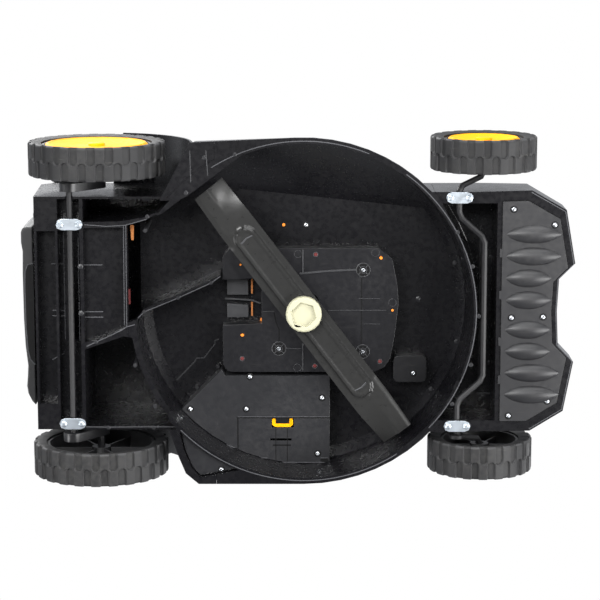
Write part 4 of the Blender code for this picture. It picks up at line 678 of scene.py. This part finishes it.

# Brown-orange strips in the gap in front of the tray and beside the motor's strap are painted light: light
# from above, turned orange in the yellow plastic, glowing through the gaps.
# A dull red patch of the same painted light stands in the same gap as the first of them.
glow_brown = material("glow_brown", (0.34, 0.115, 0.022), 0.7, dust=0.1, mottle=0.2, grain=0.5)
glow_red = material("glow_red", (0.10, 0.006, 0.006), 0.55, dust=0.1, mottle=0.2)
GAP_Z, GAP_TOP, STRAP_Z = 0.0600, 0.0640, 0.115
gap_glow = bmesh.new()
slab(gap_glow, [(-0.2088, -0.1120), (-0.2044, -0.1120), (-0.2048, -0.0925), (-0.2078, -0.0925)], GAP_Z, GAP_TOP)
block(gap_glow, (-0.0566, -0.0328), (-0.0544, -0.0135), STRAP_Z, CEILING_Z)
block(gap_glow, (-0.0566, -0.0025), (-0.0544, 0.0161), STRAP_Z, CEILING_Z)
publish("gap_glow_strips", gap_glow, glow_brown)
patch = bmesh.new()
block(patch, (-0.2130, -0.0290), (-0.2100, -0.0095), GAP_Z, GAP_TOP)
publish("red_glow_patch", patch, glow_red)


# The motor plate: ribs, three spoked bolt sockets and faint round sinks, their ridges painted lighter grey as
# highlights, with grooves and the sockets' floors painted dark as shade, and small orange and red dots of
# painted light glowing through holes.
# The plate is open to the left, where the motor's fixing strap crosses the gap under the ceiling.
PLATE_Z = 0.095


def ring(shape, x, y, surface, inner, outer, height=0.0007):
    """A raised ring on a flat face."""
    profile = [(inner, -ROOT), (inner, height * 0.6), ((inner + outer) / 2, height), (outer, height * 0.6),
               (outer, -ROOT)]
    lathe(shape, profile, 32, (x, y, surface))


plate_rib_highlights = bmesh.new()
ridge(plate_rib_highlights, [(0.0108, -0.0749), (0.0108, -0.0430)], 0.0016, PLATE_Z, 0.0010)
ridge(plate_rib_highlights, [(0.0108, 0.0480), (0.0108, 0.0849)], 0.0016, PLATE_Z, 0.0010)
ridge(plate_rib_highlights, [(0.0062, -0.0435), (0.0430, -0.0468), (0.0791, -0.0486)], 0.0025, PLATE_Z, 0.0012)
ridge(plate_rib_highlights, [(0.0431, 0.0049), (0.1198, 0.0049)], 0.0009, PLATE_Z, 0.0006)
ridge(plate_rib_highlights, [(0.0829, -0.0105), (0.1110, -0.0105)], 0.0009, PLATE_Z, 0.0006)
ridge(plate_rib_highlights, [(0.0895, 0.0230), (0.1112, 0.0230)], 0.0009, PLATE_Z, 0.0006)
ridge(plate_rib_highlights, [(-0.0409, 0.0064), (-0.0264, 0.0064)], 0.0009, PLATE_Z, 0.0006)
ridge(plate_rib_highlights, [(-0.0113, 0.0552), (0.0090, 0.0559)], 0.0010, PLATE_Z, 0.0006)
ridge(plate_rib_highlights, [(-0.0906, -0.0074), (-0.0729, -0.0066), (-0.0557, -0.0052), (-0.0440, -0.0010)],
      0.0022, STRAP_Z, 0.0030)
SOCKETS = ((0.0889, -0.0482), (0.0886, 0.0596), (-0.0203, 0.0556))
for x, y in SOCKETS:
    ring(plate_rib_highlights, x, y, PLATE_Z, 0.0084, 0.0096)
    ring(plate_rib_highlights, x, y, PLATE_Z, 0.0040, 0.0050)
    for angle in (45, 135, 225, 315):
        a = math.radians(angle)
        spoke = [(x + r * math.cos(a), y + r * math.sin(a)) for r in (0.0048, 0.0086)]
        ridge(plate_rib_highlights, spoke, 0.0011, PLATE_Z)
for x, y in ((0.0047, -0.0690), (0.1049, -0.0706), (0.1270, -0.0053), (0.0039, 0.0812)):
    ring(plate_rib_highlights, x, y, PLATE_Z, 0.0046, 0.0053, 0.0003)
publish("plate_rib_highlights", plate_rib_highlights, rib_highlight_grey, edge=0.0003)
# Grooves and the sockets' floors in painted shade.
groove_shade = bmesh.new()
ridge(groove_shade, [(0.0870, -0.0385), (0.0870, 0.0495)], 0.0016, PLATE_Z, 0.0002)
ridge(groove_shade, [(-0.0264, 0.0078), (-0.0242, 0.0197), (-0.0200, 0.0301), (-0.0200, 0.0455)],
      0.0014, PLATE_Z, 0.0002)
for x, y in SOCKETS:
    ring(groove_shade, x, y, PLATE_Z, 0.0001, 0.0084, 0.0002)
publish("plate_groove_shade", groove_shade, shadow_black)
BOLT_HEAD = [(0.0, 0.0010), (0.0014, 0.0010), (0.0016, 0.0022), (0.0026, 0.0020), (0.0031, 0.0008),
             (0.0031, 0.0)]
heads = bmesh.new()
for x, y in SOCKETS:
    lathe(heads, BOLT_HEAD, 20, (x, y, PLATE_Z))
publish("socket_bolts", heads, steel_screw)
# Red and orange dots are painted light: light from above glowing through holes in the yellow plastic.
RED_DOTS = ((0.0275, -0.0684), (0.1113, 0.0727), (0.0265, 0.0787), (-0.0680, 0.0689))
dots = bmesh.new()
for x, y in RED_DOTS:
    pin(dots, x, y, PLATE_Z, 0.0025, 0.0006)
publish("red_glow_dots", dots, glow_red)
# Orange dots on the plate and the ceiling, and a thin block beside the strap, are brighter painted light of
# the same kind.
glow_orange = material("glow_orange", (0.86, 0.24, 0.015), 0.5, dust=0.05, mottle=0.1)
dots = bmesh.new()
for x, y, size in ((0.1118, -0.0639, 0.0022), (-0.0678, 0.0377, 0.0022), (0.1271, 0.0049, 0.0018),
                   (-0.0696, -0.0549, 0.0014)):
    pin(dots, x, y, PLATE_Z, size, 0.0006)
pin(dots, -0.0140, -0.1035, CEILING_Z, 0.0022, 0.0006)
block(dots, (-0.0450, 0.0195), (-0.0428, 0.0232), STRAP_Z, CEILING_Z)
publish("orange_glow_dots", dots, glow_orange)
# Light rings of painted highlight round the red dots.
rings = bmesh.new()
for x, y in RED_DOTS:
    ring(rings, x, y, PLATE_Z, 0.0027, 0.0033, 0.0004)
publish("dot_ring_highlights", rings, highlight_grey)
blocks = bmesh.new()
block(blocks, (-0.0880, -0.0330), (-0.0600, -0.0120), 0.1130, CEILING_Z)
slab(blocks, [(-0.0880, -0.0010), (-0.0600, 0.0010), (-0.0600, 0.0180), (-0.0880, 0.0180)], 0.1130, CEILING_Z)
publish("strap_blocks", blocks, rib_highlight_grey, edge=0.0008)

# The electronics cover and the side box: parting lines and clip recesses drawn as dark strips of painted
# shade, a fold and edge lines painted light grey as highlights, and the yellow latch's frame.
# The corner cover beside them keeps the arc of the rim in light lines of painted highlight.
CLIPS = ((-0.0510, -0.0350), (0.0340, 0.0440))
marks = bmesh.new()
for start, end, width in (
    ((-0.0755, 0.1468), (0.0460, 0.1468), 0.0018),
    ((-0.0740, 0.1480), (-0.0740, 0.1880), 0.0018),
    ((-0.0244, 0.1610), (-0.0244, 0.2060), 0.0010),
    ((-0.0094, 0.1610), (-0.0094, 0.2060), 0.0010),
    ((-0.0283, 0.1837), (-0.0046, 0.1837), 0.0020),
):
    strip(marks, [start, end], width, COVER_Z - 0.0001, COVER_Z + 0.001)
for low, high in CLIPS:
    block(marks, (low, 0.2010), (high, 0.2060), COVER_Z - 0.0001, COVER_Z + 0.001)
publish("cover_joint_shade", marks, shadow_black)
folds = bmesh.new()
ridge(folds, [(-0.1440, 0.1490), (-0.1152, 0.1740), (-0.0780, 0.1870)], 0.0012, COVER_Z, 0.0006)
ridge(folds, [(-0.0740, 0.1455), (0.0450, 0.1455)], 0.0007, COVER_Z, 0.0004)
ridge(folds, [(-0.0735, 0.2068), (0.0450, 0.2068)], 0.0009, COVER_Z, 0.0005)
for low, high in CLIPS:
    ridge(folds, [(low, 0.2008), (high, 0.2008)], 0.0008, COVER_Z, 0.0006)
ridge(folds, [(-0.1400, 0.1580), (-0.1196, 0.1745), (-0.0967, 0.1885), (-0.0760, 0.1975)],
      0.0010, CORNER_Z, 0.0006)
publish("cover_fold_highlights", folds, highlight_grey, edge=0.0002)
LATCH_TOP = 0.0925
# A block of painted shade fills the top of the latch's U.
shade = bmesh.new()
block(shade, (-0.0245, 0.1482), (-0.0065, 0.1548), 0.0911, LATCH_TOP)
publish("latch_shade", shade, shadow_black)
latch = bmesh.new()
strip(latch, [(-0.0285, 0.1495), (-0.0285, 0.1560), (-0.0250, 0.1585), (-0.0060, 0.1585), (-0.0030, 0.1560),
              (-0.0030, 0.1495)], 0.0018, 0.0905, LATCH_TOP)
publish("latch_frame", latch, mower_yellow, edge=0.0005)

# The rear flap: its lower edge is a moulded frame with round corners and a pinched end.
# A black D-shaped mouth of painted shade, with a rim painted light grey as a highlight, lies on it, and all
# three ride on the flap.
flap_grey = material("flap_grey", (0.012, 0.012, 0.013), 0.45, dust=0.05, mottle=0.2, grain=0.2)
flap_low, flap_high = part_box("rear_flap")
outer = flap_low[0] + 0.0035
inner = flap_high[0] - 0.0003
flap_plan = [
    (inner, -0.1060), (inner - 0.0110, -0.1055), (outer + 0.0015, -0.1030), (outer, -0.0985),
    (outer, -0.0850), (outer + 0.0018, -0.0740), (outer + 0.0012, -0.0450), (outer + 0.0016, 0.0150),
    (outer + 0.0030, 0.0500), (outer + 0.0058, 0.0760), (outer + 0.0050, 0.0900), (outer + 0.0038, 0.1030),
    (outer + 0.0052, 0.1130), (outer + 0.0100, 0.1230), (inner, 0.1290),
]
mouth_plan = [
    (inner, -0.0585), (inner - 0.0070, -0.0570), (inner - 0.0105, -0.0480), (inner - 0.0112, -0.0300),
    (inner - 0.0108, 0.0250), (inner - 0.0088, 0.0560), (inner - 0.0060, 0.0680), (inner, 0.0745),
]
shell = bmesh.new()
slab(shell, flap_plan, flap_low[2], flap_high[2])
piece = publish("flap_frame", shell, flap_grey, "flap", edge=0.0018)
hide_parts("rear_flap")
mouth = bmesh.new()
slab(mouth, mouth_plan, flap_low[2] - 0.0004, flap_low[2] + 0.0006)
publish("flap_mouth", mouth, shadow_black, "flap")
rim_line = bmesh.new()
strip(rim_line, mouth_plan, 0.0012, flap_low[2] - 0.0007, flap_low[2] + 0.0006)
publish("flap_rim_highlight", rim_line, highlight_grey, "flap", edge=0.0003)

# Inside the right fender a dark liner closes the gap between the wheel and the body's side wall.
# It lies well above the wheel, in the plane of the fender's inner lip.
liner = bmesh.new()
block(liner, (-0.2400, -0.1740), (-0.1880, -0.1490), 0.1860, 0.1875)
publish("fender_liner", liner, deck_black, edge=0.0004)


# The blade: one pressed sheet, with an embossed middle, sharpened ends and raised trailing wings.
# A fine mesh follows the same bar as the solid, with soft bends between its flat parts.
BLADE_HALF, BLADE_WIDE, BLADE_THICK, BLADE_Z = 0.200, 0.048, 0.003, 0.052
BLADE_TURN = math.atan2(0.796, 0.606)
SPIN_X = 0.012
BLADE_ROWS, BLADE_COLUMNS = 160, 40
WING_RISE, EMBOSS_DEPTH, HOLLOW_DEPTH = 0.0176, 0.0036, 0.0007


def smooth(value):
    """Ease from 0 to 1, flat at both ends."""
    value = min(1.0, max(0.0, value))
    return value * value * (3 - 2 * value)


def blade_face(u, share):
    """Height of the sheet's middle over the blade's plane, at a place along and across it."""
    reach = smooth((abs(u) - 0.140) / 0.050) * max(0.0, abs(u) - 0.140) / 0.060
    trailing = share if u > 0 else -share
    wing = WING_RISE * reach * max(0.0, trailing + 0.1) * smooth((trailing + 0.1) / 0.12)
    round_end = math.hypot(max(0.0, abs(u) - 0.120), share * BLADE_WIDE)
    emboss = EMBOSS_DEPTH * smooth((0.0160 - round_end) / 0.0026)
    hollow = HOLLOW_DEPTH * smooth((0.0105 - round_end) / 0.0022)
    return wing - emboss + hollow


bar = bmesh.new()
layers = []
turn_blade = Matrix.Translation((SPIN_X, 0.0, BLADE_Z)) @ Matrix.Rotation(BLADE_TURN, 4, "Z")
for side in (-1, 1):
    grid = []
    for i in range(BLADE_ROWS + 1):
        u = BLADE_HALF * (-1 + 2 * i / BLADE_ROWS)
        reach = max(0.0, abs(u) - 0.144) / 0.056
        row = []
        for j in range(BLADE_COLUMNS + 1):
            share = -0.5 + j / BLADE_COLUMNS
            leading = -share if u > 0 else share
            ground = smooth((leading - 0.36) / 0.14) * smooth((abs(u) - 0.118) / 0.006)
            thin = 1 - 0.8 * ground if side < 0 else 1
            height = blade_face(u, share) + side * BLADE_THICK / 2 * thin
            across = share * BLADE_WIDE * (1 - 0.10 * reach)
            row.append(bar.verts.new(turn_blade @ Vector((u, across, height))))
        grid.append(row)
    layers.append(grid)
    for first, second in zip(grid, grid[1:]):
        for a, b, c, d in zip(first, first[1:], second[1:], second):
            bar.faces.new((a, b, c, d))
lower, higher = layers
for i in range(BLADE_ROWS):
    for j in (0, BLADE_COLUMNS):
        bar.faces.new((lower[i][j], lower[i + 1][j], higher[i + 1][j], higher[i][j]))
for j in range(BLADE_COLUMNS):
    for i in (0, BLADE_ROWS):
        bar.faces.new((lower[i][j], lower[i][j + 1], higher[i][j + 1], higher[i][j]))
piece = publish("blade_sheet", bar, blade_steel, "cutter")
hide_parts("blade")
# Two small curved lines at each end of the emboss, painted light grey as highlights.
cuts = bmesh.new()
for end in (-1, 1):
    for offset, width in ((0.0, 0.0008), (0.0016, 0.0005)):
        points = [turn_blade @ Vector((end * (0.1175 + 0.004 * math.cos(t)), 0.0115 * math.sin(t), 0.0))
                  for t in (math.radians(60 * k - 60) for k in range(3))]
        strip(cuts, [(p.x + offset, p.y) for p in points], width, 0.0474, 0.0483)
publish("blade_mark_highlights", cuts, highlight_grey, "cutter")


# Moulded tyres with two staggered rows of round-ended recesses, cut in from both edges of the tread.
# Each is one fine grid round the wheel whose radius follows the distance to the nearest recess.
def tread_depth(along, across, pitch, half, row):
    """How far into a recess a point of the tread lies, from 0 to 1."""
    reach, share, wall = 0.0235, 0.255, 0.0010
    wide = share * pitch
    shift = along - (0.5 * pitch if row > 0 else 0.0)
    beside = abs((shift + pitch / 2) % pitch - pitch / 2)
    end = half - reach + wide
    inward = row * across
    away = beside if inward > end else math.hypot(beside, inward - end)
    return smooth((wide - away) / wall)


WHEELS = (
    ("rear_left", (-0.2525, 0.1953, 0.0875), 0.0875, 24),
    ("rear_right", (-0.2525, -0.1953, 0.0875), 0.0875, 24),
    ("front_left", (0.240, 0.1860, 0.0675), 0.0675, 20),
    ("front_right", (0.240, -0.2043, 0.0675), 0.0675, 20),
)
TYRE_HALF = 0.0215
TREAD_DEPTH = 0.0030
SHOULDER = 0.0030
FLAT_WIDTH, FLAT_STEPS = 0.0370, 52
NOTCH_STEPS = 36
BEAD_DROP = 0.0168
for corner, centre, radius, notches in WHEELS:
    pitch = 2 * math.pi * radius / notches
    turns = notches * NOTCH_STEPS
    shoulder = [(TYRE_HALF - SHOULDER * (1 - math.cos(a)), SHOULDER * (1 - math.sin(a)))
                for a in (math.radians(d) for d in (0, 22, 45, 68))]
    flat = [(TYRE_HALF - SHOULDER - i * FLAT_WIDTH / FLAT_STEPS, 0.0) for i in range(FLAT_STEPS + 1)]
    section = shoulder + flat + [(-y, drop) for y, drop in reversed(shoulder)]
    bead = radius - BEAD_DROP
    tyre = bmesh.new()
    painted_tread_light = tyre.verts.layers.float.new("painted_tread_light")
    rings = []
    for i in range(turns):
        angle = 2 * math.pi * i / turns
        along = angle * radius
        outline = [(bead, TYRE_HALF - 0.002)]
        for across, drop in section:
            depth = max(tread_depth(along, across, pitch, TYRE_HALF, row) for row in (-1, 1))
            outline.append((radius - drop - TREAD_DEPTH * depth, across))
        outline.append((bead, -TYRE_HALF + 0.002))
        rings.append([
            tyre.verts.new((centre[0] + r * math.cos(angle), centre[1] + y, centre[2] + r * math.sin(angle)))
            for r, y in outline
        ])
        # Painted tread light: palest halfway down a recess's wall as a highlight, darkest on its floor as
        # shade, faint on the tread and the sides.
        for point, (r, y) in zip(rings[-1], outline):
            sunk = (radius - r) / TREAD_DEPTH
            point[painted_tread_light] = 0.10 * (1 - sunk) + 2.0 * sunk * (1 - sunk) if 0 <= sunk <= 1 else 0.06
    for i, loop in enumerate(rings):
        follow = rings[(i + 1) % turns]
        for j in range(len(loop)):
            k = (j + 1) % len(loop)
            tyre.faces.new((loop[j], loop[k], follow[k], follow[j]))
    piece = publish(corner + "_tread", tyre, tyre_black, corner + "_wheel")
    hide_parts(corner + "_tyre")

# Each hubcap has a small capped hub and a moulded ring on its dished outer face.
# Both are turned shapes in the cap's own yellow, and they ride on the wheel.
HUB = [(0.0, 0.0030), (0.0090, 0.0030), (0.0105, 0.0022), (0.0108, -0.0010)]
for corner, centre, *_ in WHEELS:
    low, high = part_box(corner + "_hubcap")
    side = 1 if centre[1] > 0 else -1
    face = high[1] if side > 0 else low[1]
    cap_radius = (high[0] - low[0]) / 2
    marks = bmesh.new()
    place = (centre[0], face - side * 0.0035, centre[2])
    lathe(marks, HUB, 32, place, (0.0, side, 0.0))
    lip = [(cap_radius * share, height)
           for share, height in ((0.90, 0.0020), (0.91, 0.0034), (0.94, 0.0034), (0.95, 0.0020))]
    lathe(marks, lip, 64, place, (0.0, side, 0.0))
    publish(corner + "_hub_marks", marks, mower_yellow, corner + "_wheel")
